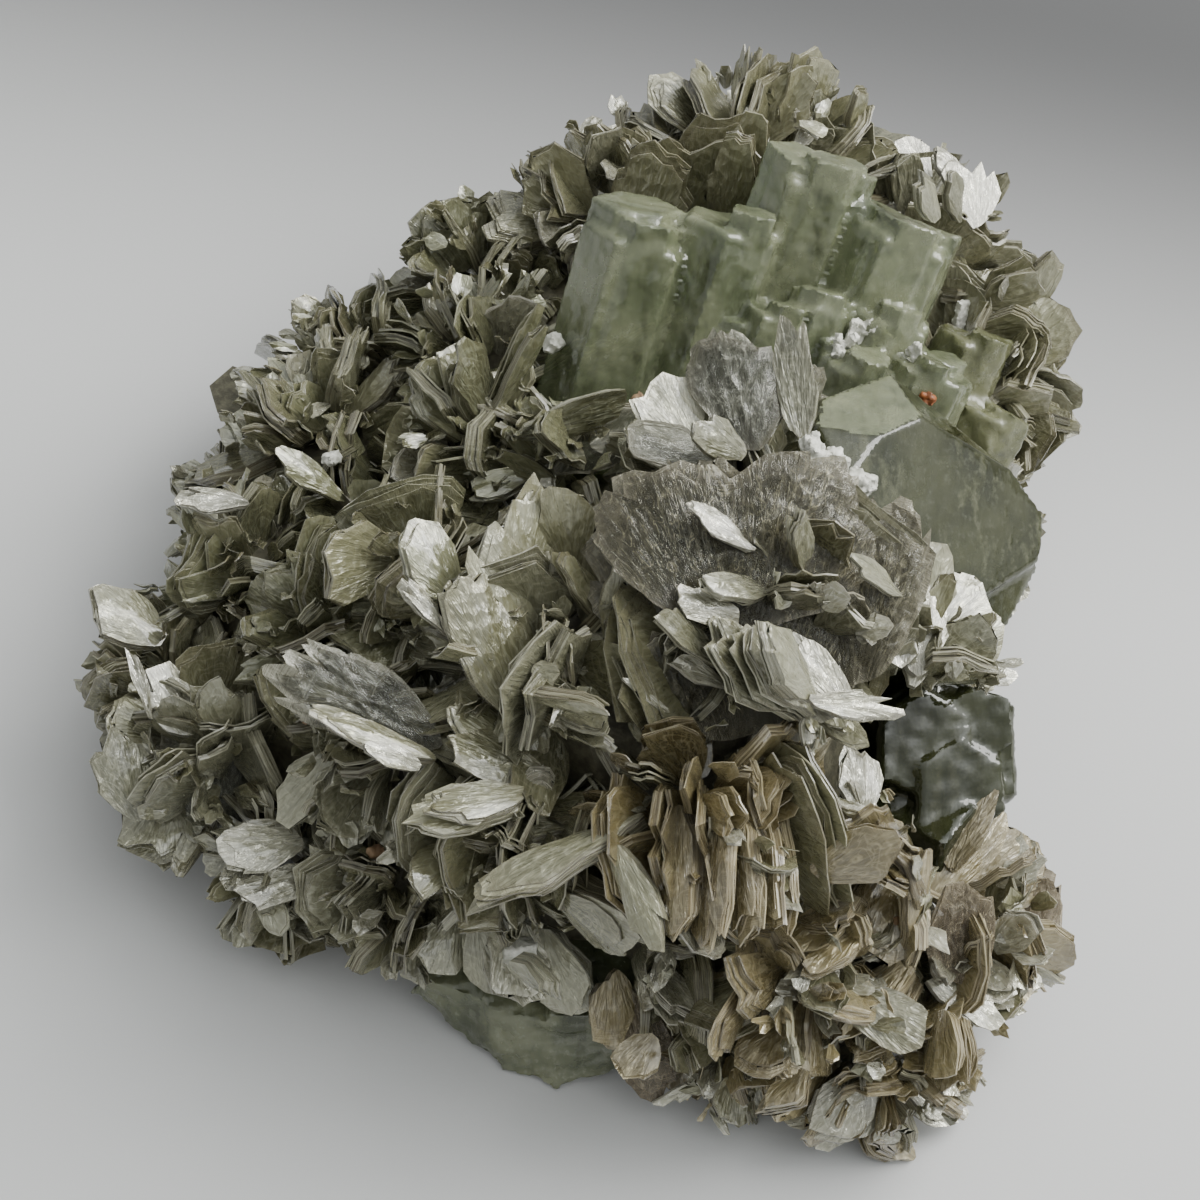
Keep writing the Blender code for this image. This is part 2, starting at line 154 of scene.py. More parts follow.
def stretched(place, scale):
    """A place stretched by its own scale along each axis."""
    return added(place.tree, "Mapping", {"Vector": place, "Scale": scale})


def embossed(shader, height, strength, depth):
    """Bump a shader's surface by a height between 0 and about 1."""
    sockets = {"Height": height, "Strength": strength, "Distance": depth}
    feed(shader.inputs["Normal"], added(height.tree, "Bump", sockets))


def plain_material(name, **sockets):
    """A Principled material: the material, its node tree and its shader."""
    made = bpy.data.materials.new(name)
    made.use_nodes = True
    shader = made.node_tree.nodes["Principled BSDF"]
    for label, value in sockets.items():
        feed(shader.inputs[label.replace("_", " ")], value)
    return made, made.node_tree, shader


paper_finish, paper_tree, paper_shader = plain_material("paper", Base_Color=PAPER_PALE, Roughness=0.85)
paper_place = added(paper_tree, "TexCoord", {}, "Object")
embossed(paper_shader, noise(paper_place, 1800, 3, 0.5), 0.12, 0.1 * MM)
# Painted shade: the paper's colour darkens from pale to nearly black along this gradient, standing in
# for light that falls off towards the back.
painted_shade_way = added(paper_tree, "Mapping", {
    "Vector": paper_place, "Location": PAINTED_SHADE_START, "Rotation": (0, 0, PAINTED_SHADE_TURN),
    "Scale": (PAINTED_SHADE_LENGTH, PAINTED_SHADE_LENGTH, 1)}, vector_type="TEXTURE")
shade = added(paper_tree, "TexGradient", {"Vector": painted_shade_way}, "Fac", gradient_type="EASING")
feed(paper_shader.inputs["Base Color"], blended(shade, PAPER_PALE, PAPER_PAINTED_SHADE))

paper_mesh = bpy.data.meshes.new("paper")
paper_corners = [(x * PAPER_HALF, y * PAPER_HALF, 0) for x, y in ((-1, -1), (1, -1), (1, 1), (-1, 1))]
paper_mesh.from_pydata(paper_corners, [], [(0, 1, 2, 3)])
paper_mesh.materials.append(paper_finish)
paper = bpy.data.objects.new("paper", paper_mesh)
bpy.context.collection.objects.link(paper)

# ------------------------------------------------------------------ the light
# The room is pale and brightest towards a wide window on the right, where a
# smaller patch of open sky gives the glints.
WINDOW_WAY = Vector((0.64, 0.10, 0.76)).normalized()
ROOM_TINT = (0.97, 1.0, 0.99)
ROOM_DIM, ROOM_GLOW, GLOW_FOCUS = 0.60, 4.8, 14.0
SKY_PLACE, SKY_AIM, SKY_SIZE = Vector((0.36, 0.10, 0.34)), Vector((0.02, -0.01, 0.02)), 0.32

world = bpy.data.worlds.new("room")
world.use_nodes = True
room = world.node_tree
room_way = added(room, "TexCoord", {}, "Generated")
towards = added(room, "VectorMath", {0: room_way, 1: WINDOW_WAY}, "Value", operation="DOT_PRODUCT")
glow = (towards * 0.5 + 0.5) ** GLOW_FOCUS * ROOM_GLOW
feed(room.nodes["Background"].inputs["Color"], ROOM_TINT)
feed(room.nodes["Background"].inputs["Strength"], glow + ROOM_DIM)
bpy.context.scene.world = world

sky_data = bpy.data.lights.new("sky", "AREA")
sky_data.size = SKY_SIZE
sky_data.energy = 3.2
sky_data.color = (1.0, 0.99, 0.96)
sky = bpy.data.objects.new("sky", sky_data)
sky.location = SKY_PLACE
sky.rotation_euler = (SKY_PLACE - SKY_AIM).to_track_quat("Z", "Y").to_euler()
bpy.context.collection.objects.link(sky)

# -------------------------------------------------------- aquamarine: crystals
# Aquamarine is beryl in six-sided prisms.  These are stubby and frosted, and
# each one is a bundle of thinner columns that end at steps of their own.
# A prism here is its foot, top, radius and the way one side looks.
UPPER_PRISMS = [
    ((-2, 17, 24), (5, 31, 45), 6.6, (0, -0.9, 0.5)),
    ((6, 18, 24), (14, 31.5, 46), 5.8, (0.4, -0.9, 0.5)),
    ((14, 23, 22), (23, 37.5, 47), 6.4, (-0.1, -0.9, 0.5)),
    ((22, 20, 22), (31, 33, 44), 7.2, (0.2, -0.9, 0.5)),
    ((12, 14, 26), (18.5, 24, 40), 4.4, (0, -0.9, 0.5)),
    ((19, 10, 24), (26, 18.5, 39), 4.6, (0.4, -0.9, 0.5)),
    ((27, 10, 22), (34, 19, 38), 5.0, (0, -0.9, 0.5)),
]
GREAT_PRISM = ((34, -2, 22), (19, 6, 38), 12, (0.57, -0.41, 0.71))
DARK_PRISMS = [
    ((30, -11, 12), (33, -21, 26), 9.0, (0.3, -0.3, 0.9)),
    ((24, -18, 16), (36, -26, 18), 7.0, (0.3, -0.3, 0.9)),
]
FOOT_PRISM = ((8, -33, 5.5), (-14, -35, 5.5), 6.4, (0, -0.8, 0.6))
ALL_PRISMS = UPPER_PRISMS + [GREAT_PRISM] + DARK_PRISMS + [FOOT_PRISM]
CORNERS = 6
SHARP_EDGE = math.radians(38)


def column_frame(foot, top, face):
    """A column's axis, its outward way and the way across."""
    axis = (top - foot).normalized()
    out = Vector(face)
    out = (out - axis * out.dot(axis)).normalized()
    return axis, out, out.cross(axis)


def add_hull(bm, corners):
    """Add the closed block around some corners."""
    bmesh.ops.convex_hull(bm, input=[bm.verts.new(corner) for corner in corners])


def add_column(bm, foot, top, face, radius, sides, bevel, lean):
    """A six-sided column with a bevelled free end that leans."""
    axis, out, across = column_frame(foot, top, face)
    shoulder = top - axis * bevel * radius
    rings = (foot, radius, 0), (shoulder, radius, 1), (top, radius * (1 - bevel), 1)
    corners = []
    for place, size, leans in rings:
        for k, side in enumerate(sides):
            angle = 2 * math.pi * (k + 0.5) / CORNERS
            a, b = size * side * math.cos(angle), size * side * math.sin(angle)
            drop = leans * (lean[0] * (a - radius) + lean[1] * (b - radius))
            corners.append(place + out * a + across * b + axis * drop)
    add_hull(bm, corners)


def add_bundle(bm, draw, prism, columns=5):
    """A prism as a bundle: one broad column and thinner ones at their own heights."""
    foot, top, radius, face = prism
    foot, top = Vector(foot), Vector(top)
    axis, out, across = column_frame(foot, top, face)
    height = (top - foot).length
    sides = [draw.uniform(0.94, 1.0) for _ in range(CORNERS)]
    lean = draw.uniform(0, 0.08), draw.uniform(0, 0.08)
    add_column(bm, foot, foot + axis * height * 0.93, face, radius * 0.98, sides, 0.1, lean)
    for k in range(columns):
        angle = 2.4 * k + draw.uniform(-0.4, 0.4)
        size = radius * draw.uniform(0.42, 0.74)
        off = (radius * 0.99 - size) * draw.uniform(0.85, 1.0)
        shift = out * math.cos(angle) * off + across * math.sin(angle) * off
        tall = height * draw.uniform(0.84, 1.0) if k else height
        sides = [draw.uniform(0.85, 1.05) for _ in range(CORNERS)]
        bevel = draw.uniform(0.03, 0.12)
        lean = draw.uniform(-0.05, 0.2), draw.uniform(-0.12, 0.15)
        add_column(bm, foot + shift, foot + shift + axis * tall, face, size, sides, bevel, lean)


def fused(bm, grain, crisp=True):
    """The columns fused to one closed skin of the given grain, with crisp or soft edges."""
    mesh = bpy.data.meshes.new("columns")
    bmesh.ops.recalc_face_normals(bm, faces=bm.faces)
    for vertex in bm.verts:
        vertex.co *= MM
    bm.to_mesh(mesh)
    bm.free()
    body = bpy.data.objects.new("columns", mesh)
    bpy.context.collection.objects.link(body)
    fusing = body.modifiers.new("fuse", "REMESH")
    fusing.mode = "VOXEL"
    fusing.voxel_size = grain * MM
    pattern = bpy.data.objects.new("columns_apart", mesh.copy())
    bpy.context.collection.objects.link(pattern)
    if crisp:
        snapping = body.modifiers.new("crisp", "SHRINKWRAP")
        snapping.target = pattern
    else:
        smoothing = body.modifiers.new("soften", "SMOOTH")
        smoothing.factor = 0.5
        smoothing.iterations = 2
    done = bpy.data.meshes.new_from_object(body.evaluated_get(bpy.context.evaluated_depsgraph_get()))
    bpy.data.objects.remove(body)
    bpy.data.objects.remove(pattern)
    return done


def etched(mesh, axis, flutes, pits):
    """Work flutes along the axis and shallow pits into a skin, always inwards."""
    axis = Vector(axis).normalized()
    level = axis.orthogonal().normalized()
    turned = axis.cross(level)
    normals = [vertex.normal.copy() for vertex in mesh.vertices]
    for vertex, normal in zip(mesh.vertices, normals):
        place = vertex.co / MM
        side = 1 - abs(normal.dot(axis))
        drawn_out = Vector((place.dot(axis) * 0.1, place.dot(level) * 0.9, place.dot(turned) * 0.9))
        fluted = fractal(drawn_out, 1, 2, 2)
        pitted = fractal(place * 0.55, 1, 2, 3)
        depth = flutes * side * (0.5 + fluted) + pits * (0.5 + pitted)
        vertex.co -= normal * max(0.0, depth) * MM


def shaded(mesh, sharp=SHARP_EDGE):
    """Smooth shading up to the sharp edges."""
    mesh.shade_smooth()
    mesh.set_sharp_from_angle(angle=sharp)
    return mesh


def place_piece(mesh, name, finishes, node=None):
    """Put a mesh in the scene with its finishes, under the root, in place of the node that it stands
    for.
    """
    piece = bpy.data.objects.new(name, mesh)
    bpy.context.collection.objects.link(piece)
    for finish in finishes:
        mesh.materials.append(finish)
    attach(piece, "root")
    if node:
        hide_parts(node)


def node_group(name, inputs, outputs):
    """A shader node group: the group, the outputs that bring its inputs, and its closing sockets."""
    group = bpy.data.node_groups.new(name, "ShaderNodeTree")
    for label, kind in inputs:
        group.interface.new_socket(label, in_out="INPUT", socket_type=kind)
    for label, kind in outputs:
        group.interface.new_socket(label, in_out="OUTPUT", socket_type=kind)
    brought = group.nodes.new("NodeGroupInput").outputs
    closing = group.nodes.new("NodeGroupOutput").inputs
    return group, {label: Output(brought[label]) for label, _ in inputs}, closing


def grown_from(tree, group, values):
    """A use of a node group; returns its outputs by name."""
    use = tree.nodes.new("ShaderNodeGroup")
    use.node_tree = group
    for label, value in values.items():
        feed(use.inputs[label], value)
    return {socket.name: Output(socket) for socket in use.outputs}


beryl, beryl_in, beryl_out = node_group(
    "beryl_growth",
    [("Milk", "NodeSocketColor"), ("Clear", "NodeSocketColor"), ("Moss", "NodeSocketColor"),
     ("Moss Share", "NodeSocketFloat"), ("Veil Share", "NodeSocketFloat")],
    [("Color", "NodeSocketColor"), ("Frost", "NodeSocketFloat"), ("Height", "NodeSocketFloat")])
# Clouds of milk, streaks along the prisms, dark moss where both are thin, and
# pale veils of specks.
beryl_place = added(beryl, "TexCoord", {}, "Object")
clouds = noise(beryl_place, 140, 4, 0.6)
streaks = noise(stretched(beryl_place, (1.0, 0.35, 0.22)), 620, 3, 0.6)
specks = noise(beryl_place, 1500, 2, 0.7)
milky = ((clouds - 0.36) * 3.2).clamped()
body = blended(milky, beryl_in["Clear"], beryl_in["Milk"])
mossy = (clouds * -1.6 + streaks * 2.4 + specks * 0.9 - 0.95).clamped()
mossy = (mossy * beryl_in["Moss Share"]).clamped()
veiled = ((specks - 0.54) * 3.0).clamped() * beryl_in["Veil Share"]
body = blended(veiled, body, (0.66, 0.68, 0.56))
feed(beryl_out["Color"], blended(mossy, body, beryl_in["Moss"]))
feed(beryl_out["Frost"], clouds)
feed(beryl_out["Height"], streaks + specks * 0.35)


def beryl_finish(name, milk, clear, moss, moss_share, relief, see_through, tint, density,
                 frosting=0.5, coat=0.15, veils=0.35):
    """Frosted pale green beryl; density per metre of the tint it takes up."""
    made, tree, shader = plain_material(
        name, Base_Color=milk, Roughness=0.2, IOR=1.58, Transmission_Weight=see_through,
        Coat_Weight=coat, Coat_Roughness=0.06)
    growth = grown_from(tree, beryl, {"Milk": milk, "Clear": clear, "Moss": moss,
                                      "Moss Share": moss_share, "Veil Share": veils})
    feed(shader.inputs["Base Color"], growth["Color"])
    feed(shader.inputs["Roughness"], (growth["Frost"] * frosting - 0.04).clamped())
    embossed(shader, growth["Height"], relief, 0.2 * MM)
    absorbing = added(tree, "VolumeAbsorption", {"Color": tint, "Density": density})
    feed(tree.nodes["Material Output"].inputs["Volume"], absorbing)
    return made


PALE_BERYL = beryl_finish(
    "beryl_pale", milk=(0.43, 0.452, 0.285), clear=(0.22, 0.25, 0.145), moss=(0.07, 0.08, 0.038),
    moss_share=1.1, relief=0.35, see_through=0.6, tint=(0.55, 0.68, 0.38), density=90)
CLEAR_BERYL = beryl_finish(
    "beryl_clear", milk=(0.135, 0.142, 0.066), clear=(0.05, 0.056, 0.02), moss=(0.30, 0.31, 0.18),
    moss_share=1.2, relief=0.25, see_through=0.7, tint=(0.50, 0.60, 0.30), density=210,
    frosting=0.22, coat=0.0, veils=0.2)
MOSSY_BERYL = beryl_finish(
    "beryl_mossy", milk=(0.27, 0.275, 0.15), clear=(0.145, 0.152, 0.07), moss=(0.06, 0.063, 0.024),
    moss_share=1.6, relief=0.5, see_through=0.5, tint=(0.5, 0.64, 0.35), density=110, frosting=0.45)
DARK_BERYL = beryl_finish(
    "beryl_dark", milk=(0.04, 0.044, 0.017), clear=(0.014, 0.017, 0.006), moss=(0.10, 0.098, 0.055),
    moss_share=0.5, relief=0.3, see_through=0.3, tint=(0.46, 0.50, 0.20), density=320,
    frosting=0.12, coat=0.0, veils=0.04)
MILKY_BERYL = beryl_finish(
    "beryl_milky", milk=(0.27, 0.28, 0.17), clear=(0.13, 0.145, 0.085), moss=(0.06, 0.065, 0.035),
    moss_share=1.1, relief=0.6, see_through=0.4, tint=(0.55, 0.70, 0.46), density=90)

# The upper prisms stand side by side; smaller columns have filled in between.
BETWEEN_PRISMS = [
    ((2, 17, 24), (9, 30, 42), 3.6, (0, -0.9, 0.5)),
    ((10, 20, 23), (18.5, 33, 42.5), 3.4, (0, -0.9, 0.5)),
    ((18, 21, 22), (27, 34.5, 43.5), 4.2, (0, -0.9, 0.5)),
    ((10, 13, 26), (14, 23, 38), 3.4, (0.3, -0.9, 0.5)),
    ((17, 13, 26), (22.5, 25, 40.5), 3.8, (0.3, -0.9, 0.5)),
    ((24, 12, 24), (30, 24, 39.5), 4.4, (0.3, -0.9, 0.5)),
    ((24, 9, 24), (29.5, 17, 36.5), 3.4, (0.3, -0.9, 0.5)),
]
draw = random.Random(61)
columns = bmesh.new()
for prism in UPPER_PRISMS:
    add_bundle(columns, draw, prism)
for prism in BETWEEN_PRISMS:
    add_bundle(columns, draw, prism, 4)
upper_skin = fused(columns, 0.4)
etched(upper_skin, (8, 14, 23), 0.08, 0.12)

# The great prism is smoother and clearer, with crisp edges.  A facet cuts its free
# end; where it faces up it takes the pale finish as painted light for the lit top.
# The corner at its foot has sunk a little along a crack.
GREAT_FACE = Vector((0.645, -0.398, 0.653))
GREAT_FACET = Vector((0.145, 0.324, 0.935))
GREAT_FRONT = [(30.4, 5.3, 44.5), (26.1, 1.6, 46.4), (22.6, -3.9, 46.5), (25.9, -12.4, 38.1),
               (35.1, -7.6, 32.0), (43.1, 0.1, 28.7), (43.7, 4.0, 30.5), (37.6, 3.9, 36.5)]
GREAT_END = [(28.0, 12.3, 42.5), (20.9, 6.7, 45.5), (20.1, 2.1, 47.2), (40.3, 6.4, 34.6)]
GREAT_BACK = [(27.7, -12.2, 21.2), (25.1, -2.9, 14.1), (31.4, 7.3, 14.9), (40.3, 8.2, 22.8),
              (12.7, -4.2, 37.2), (10.1, 5.1, 30.1), (16.4, 15.3, 30.9)]
GREAT_CORNER = [(34.6, -7.0, 32.4), (43.1, 0.2, 28.7), (43.6, 0.0, 27.4), (40.2, -6.5, 27.4),
                (36.9, -10.6, 28.2), (31.0, -12.6, 33.4)]
CORNER_SUNK = 0.7
FACET_FOOT = 41 * MM
great = bmesh.new()
add_hull(great, GREAT_FRONT + GREAT_END + GREAT_BACK)
add_hull(great, [Vector(corner) - GREAT_FACE * CORNER_SUNK for corner in GREAT_CORNER] + GREAT_BACK[:4])
great_skin = fused(great, 0.45)
etched(great_skin, (-15, 8, 16), 0.02, 0.04)

# Two soft, mossy blocks stand between the great prism and the right-hand mica.
MOSSY_PRISMS = [
    ((32, 17, 20), (39, 26.5, 33), 4.8, (0.2, -0.9, 0.5)),
    ((34, 11, 18), (41, 19.5, 29.5), 4.4, (0.5, -0.8, 0.4)),
]
mossy_columns = bmesh.new()
for prism in MOSSY_PRISMS:
    add_bundle(mossy_columns, draw, prism, 3)
mossy_skin = fused(mossy_columns, 0.45, crisp=False)
etched(mossy_skin, (8, 14, 23), 0.1, 0.3)

# The whole group is one growth: pale prisms, the clear great one, mossy blocks.
cluster = bmesh.new()
cluster.from_mesh(upper_skin)
upper_count = len(cluster.faces)
cluster.from_mesh(great_skin)
great_count = len(cluster.faces)
cluster.from_mesh(mossy_skin)
for order, face in enumerate(cluster.faces):
    # Painted light: the upward facet of the great prism takes the pale finish, lighter as the lit top;
    # the rest keeps the darker clear finish.
    on_painted_lit_facet = face.normal.dot(GREAT_FACET) > 0.96 and face.calc_center_median().z > FACET_FOOT
    if order >= great_count:
        face.material_index = 2
    elif order >= upper_count and not on_painted_lit_facet:
        face.material_index = 1
cluster_mesh = bpy.data.meshes.new("aquamarine_cluster_crystals")
cluster.to_mesh(cluster_mesh)
cluster.free()
place_piece(shaded(cluster_mesh), "aquamarine_cluster_crystals", [PALE_BERYL, CLEAR_BERYL, MOSSY_BERYL],
            "aquamarine_cluster")

dark = bmesh.new()
for prism in DARK_PRISMS:
    add_bundle(dark, draw, prism, 6)
dark_skin = fused(dark, 0.5)
etched(dark_skin, (5, -9, 8), 0.12, 0.2)
place_piece(shaded(dark_skin), "aquamarine_dark_crystals_etched", [DARK_BERYL],
            "aquamarine_dark_crystals")

# The foot crystal is three blocks lying askew under the mica.
FOOT_BLOCKS = [
    [(-18.7, -34.5, 4.0), (-13.3, -37.9, 1.0), (-17.4, -34.9, 8.0), (-11.3, -37.7, 8.5),
     (-14.0, -30.0, 1.0), (-14.0, -30.0, 9.5), (-8.0, -30.0, 10.0), (-8.0, -36.0, 1.0)],
    [(-13.4, -38.3, 0.6), (-9.3, -41.2, 0.4), (-4.0, -43.3, 0.4), (-11.5, -37.9, 7.7),
     (-4.0, -40.0, 8.2), (-12.0, -30.0, 1.0), (-12.0, -30.0, 9.0), (2.0, -30.0, 9.0),
     (2.0, -36.0, 0.6)],
    [(-4.4, -42.9, 0.6), (-0.8, -42.7, 1.2), (-5.0, -39.6, 9.2), (1.8, -39.6, 9.4),
     (6.0, -40.0, 1.6), (-5.0, -30.0, 1.0), (-5.0, -30.0, 10.5), (8.0, -30.0, 10.0),
     (8.0, -37.0, 2.0)],
]
foot_blocks = bmesh.new()
for corners in FOOT_BLOCKS:
    add_hull(foot_blocks, corners)
foot_skin = fused(foot_blocks, 0.5)
etched(foot_skin, (1, 0, 0), 0.3, 0.4)
place_piece(shaded(foot_skin), "aquamarine_foot_crystal_etched", [MILKY_BERYL],
            "aquamarine_foot_crystal")

# ------------------------------------------------------- muscovite: one slab
# Muscovite grows as thin six-sided leaves that split along one flat cleavage.
# A slab here is a closed stack of such layers, each ending at its own ragged
# rim, so its sides are finely stepped and its two faces smooth.
LAYER = 0.21                    # thickness of one layer, mm
SHARP_RIM = math.radians(35)
SLAB_OPTIONS = {
    "layers": 1, "thickness": LAYER,
    "bend": 0.0,                # how far the tip leans to the facing side
    "cup": 0.0,                 # how far the two sides rise
    "twist": 0.0,               # how far the tip is turned
    "wave": 0.16,               # height of the ripples at the rim
    "ragged": 0.045,            # how broken the rim is
    "waist": 0.68,              # width at the root
    "crinkle": 0.0,             # height of finer folds all over
    "tone": 0.5, "look": 0,
}
slab_patterns = {}


def slab_pattern(spokes, rings, layers):
    """A slab's faces: the vertex, layer and side flag of every corner, and the size of every face."""
    key = (spokes, rings, layers)
    if key in slab_patterns:
        return slab_patterns[key]
    inner = rings - 1
    first_band = 1 + inner * spokes
    top_start = first_band + 2 * layers * spokes
    last_band = top_start - spokes
    top_centre = top_start + inner * spokes
    under = [1 + r * spokes for r in range(inner)] + [first_band]
    over = [top_start + r * spokes for r in range(inner)] + [last_band]
    faces, layer_of, on_side = [], [], []
    for i in range(spokes):
        j = (i + 1) % spokes
        faces += [[0, under[0] + j, under[0] + i], [top_centre, over[0] + i, over[0] + j]]
        layer_of += [0, layers - 1]
        for near, far in zip(under, under[1:]):
            faces.append([near + j, far + j, far + i, near + i])
            layer_of.append(0)
        for near, far in zip(over, over[1:]):
            faces.append([near + i, far + i, far + j, near + j])
            layer_of.append(layers - 1)
    on_side += [0.0] * len(faces)
    for band in range(2 * layers - 1):
        low = first_band + band * spokes
        for i in range(spokes):
            j = (i + 1) % spokes
            faces.append([low + i, low + j, low + spokes + j, low + spokes + i])
            layer_of.append(band // 2)
            on_side.append(1.0 - band % 2)
    sizes = np.array([len(face) for face in faces], dtype=np.int32)
    slab_patterns[key] = (np.array([v for face in faces for v in face], dtype=np.int32), sizes,
                          np.repeat(np.array(layer_of), sizes),
                          np.repeat(np.array(on_side, dtype=np.float32), sizes))
    return slab_patterns[key]


class LeafPile:
    """Slabs gathered into one mesh, with their growth written on every corner."""

    def __init__(self):
        self.points, self.corners, self.sizes = [], [], []
        self.spans, self.growth, self.looks = [], [], []
        self.count = 0

    def add(self, points, pattern, skin_span, side_span, reach, book_tone, layer_tones, look):
        """Add one slab: its points, faces, the two ways its lines run, and its tones and look."""
        corners, sizes, layer_of, on_side = pattern
        self.looks.append(np.full(len(sizes), look, dtype=np.int32))
        self.points.append(points)
        self.corners.append(corners + self.count)
        self.sizes.append(sizes)
        self.spans.append(np.where(on_side[:, None] > 0.5, side_span[corners], skin_span[corners]))
        marks = np.empty((len(corners), 4), dtype=np.float32)
        marks[:, 0] = book_tone
        marks[:, 1] = layer_tones[layer_of]
        marks[:, 2] = reach[corners]
        marks[:, 3] = on_side
        self.growth.append(marks)
        self.count += len(points)

    def nearest(self, place):
        """The point grown so far that lies nearest to a place."""
        grown = np.concatenate(self.points)
        return grown[np.argmin(((grown - place) ** 2).sum(axis=1))]

    def to_mesh(self, name):
        """The whole pile as one mesh, in metres."""
        points = np.concatenate(self.points).astype(np.float32) * MM
        corners = np.concatenate(self.corners)
        sizes = np.concatenate(self.sizes)
        starts = np.concatenate(([0], np.cumsum(sizes)[:-1])).astype(np.int32)
        mesh = bpy.data.meshes.new(name)
        mesh.vertices.add(len(points))
        mesh.vertices.foreach_set("co", points.ravel())
        mesh.loops.add(len(corners))
        mesh.loops.foreach_set("vertex_index", corners)
        mesh.polygons.add(len(sizes))
        mesh.polygons.foreach_set("loop_start", starts)
        mesh.polygons.foreach_set("loop_total", sizes)
        mesh.update(calc_edges=True)
        mesh.validate()
        mesh.polygons.foreach_set("material_index", np.concatenate(self.looks))
        marks = mesh.color_attributes.new("growth", "FLOAT_COLOR", "CORNER")
        marks.data.foreach_set("color", np.concatenate(self.growth).ravel())
        layer = mesh.uv_layers.new(name="leaf_span")
        layer.data.foreach_set("uv", np.concatenate(self.spans).astype(np.float32).ravel())
        return shaded(mesh, SHARP_RIM)


def unit(vector):
    """A vector's direction."""
    vector = np.array(vector, dtype=float)
    return vector / np.linalg.norm(vector)


# A slab ends just inside the specimen's box, above the paper.
BOX_MARGIN = 0.05
room_low = np.array(cad_box[0]) / MM + BOX_MARGIN
room_high = np.array(cad_box[1]) / MM - BOX_MARGIN


def slab_outline(rng):
    """The rounded, faintly six-sided outline that the slabs of one book share."""
    return {
        "swell": rng.uniform(-0.13, 0.13, 5), "shift": rng.uniform(0, 2 * math.pi, 5),
        "six_sided": rng.uniform(0.1, 0.95), "turn": rng.uniform(0, math.pi / 3),
        "phases": rng.uniform(0, 2 * math.pi, 3)}


def grow_slab(pile, rng, root, along, facing, length, width, outline, **shape):
    """Add one slab from its root outwards; shape holds any of SLAB_OPTIONS."""
    shape = SLAB_OPTIONS | shape
    layers, ragged, waist, crinkle = (shape[part] for part in ("layers", "ragged", "waist", "crinkle"))
    fineness = 2.0 if crinkle else 1.0
    spokes = int(np.clip((8 + 1.1 * length) * fineness, 9, 80))
    rings = int(np.clip(round(0.16 * length * fineness ** 2 + 0.7), 1, 14))
    turn = (np.arange(spokes) + rng.uniform(-0.35, 0.35, spokes)) * 2 * math.pi / spokes
    sixth = (turn + outline["turn"]) % (math.pi / 3) - math.pi / 6
    edge = 1 - outline["six_sided"] * (1 - math.cos(math.pi / 6) / np.cos(sixth))
    for order, (swell, shift) in enumerate(zip(outline["swell"], outline["shift"]), 2):
        edge = edge + swell * np.cos(order * turn + shift) / (0.5 * order)
    edge = np.clip(edge, 0.5, 1.08)
    rim_x = 0.5 * length * (1 + np.sign(np.cos(turn)) * np.abs(np.cos(turn)) ** 0.92 * edge)
    rim_y = 0.5 * width * np.sign(np.sin(turn)) * np.abs(np.sin(turn)) ** 0.85 * edge
    rim_y = rim_y * (waist + (1 - waist) * np.clip(1.9 * rim_x / length, 0, 1))
    # each layer ends a little off its neighbour, now and then much further in
    drift = np.where(rng.random(layers) < 0.35, rng.uniform(0.02, 0.09, layers), 0.012)
    sizes = np.cumsum(drift * rng.choice((-1, 1), layers))
    sizes = 1 + sizes - sizes.max()
    fray = np.cumsum(rng.normal(size=(layers, spokes)), axis=0)
    fray = fray / np.sqrt(np.arange(1, layers + 1))[:, None]
    notch = 3.0 * (rng.random(spokes) < 0.1) + 1.5 * (rng.random((layers, spokes)) < 0.06)
    share = np.clip(sizes[:, None] * (1 + ragged * (fray - notch)), 0.5, 1.04)
    levels = np.linspace(-0.5, 0.5, layers + 1) * shape["thickness"] * layers
    reaches = (np.arange(1, rings + 1) / rings) ** 0.8
    x, y, rise, reach = [], [], [], []

    def add_ring(layer, inward, level):
        x.append(0.5 * length + (rim_x * share[layer] - 0.5 * length) * inward)
        y.append(rim_y * share[layer] * inward)
        rise.append(np.full(spokes, level))
        reach.append(np.full(spokes, inward))

    def add_centre(level):
        x.append([0.5 * length])
        y.append([0.0])
        rise.append([level])
        reach.append([0.0])

    add_centre(levels[0])
    for inward in reaches[:-1]:
        add_ring(0, inward, levels[0])
    for layer in range(layers):
        add_ring(layer, 1.0, levels[layer])
        add_ring(layer, 1.0, levels[layer + 1])
    for inward in reaches[:-1]:
        add_ring(layers - 1, inward, levels[layers])
    add_centre(levels[layers])
    x, y, rise, reach = (np.concatenate(part) for part in (x, y, rise, reach))
    u, v = x / length, 2 * y / width
    first, second, third = outline["phases"]
    ripple = (np.sin(5.1 * u + 2.3 * v + first) + np.sin(4.3 * v - 3.1 * u + second)
              + 0.6 * np.sin(9.0 * u + 7.0 * v + third))
    z = (shape["bend"] * u * u + shape["cup"] * v * v * (0.4 + 0.6 * u) + shape["twist"] * u * v
         + shape["wave"] * ripple * (0.2 + 0.8 * reach ** 2) + rise * (1 - 0.25 * u * reach))
    if crinkle:
        fold = np.abs(np.sin(11 * u + 5 * v + second)) * np.abs(np.sin(9 * v - 6 * u + third))
        fold = fold + 0.35 * np.abs(np.sin(17 * u - 8 * v + first))
        z = z + crinkle * (1 - fold)
    across = np.cross(facing, along)
    points = root + np.outer(x, along) + np.outer(y, across) + np.outer(z, facing)
    points = np.clip(points, room_low, room_high)
    around = np.arctan2(y, x + 0.25 * length) * length
    skin_span = np.stack((around, np.hypot(x, y)), axis=1)
    side_span = np.stack((around, rise + 40 * outline["turn"]), axis=1)
    pile.add(points, slab_pattern(spokes, rings, layers), skin_span, side_span, reach,
             shape["tone"], rng.random(layers), shape["look"])


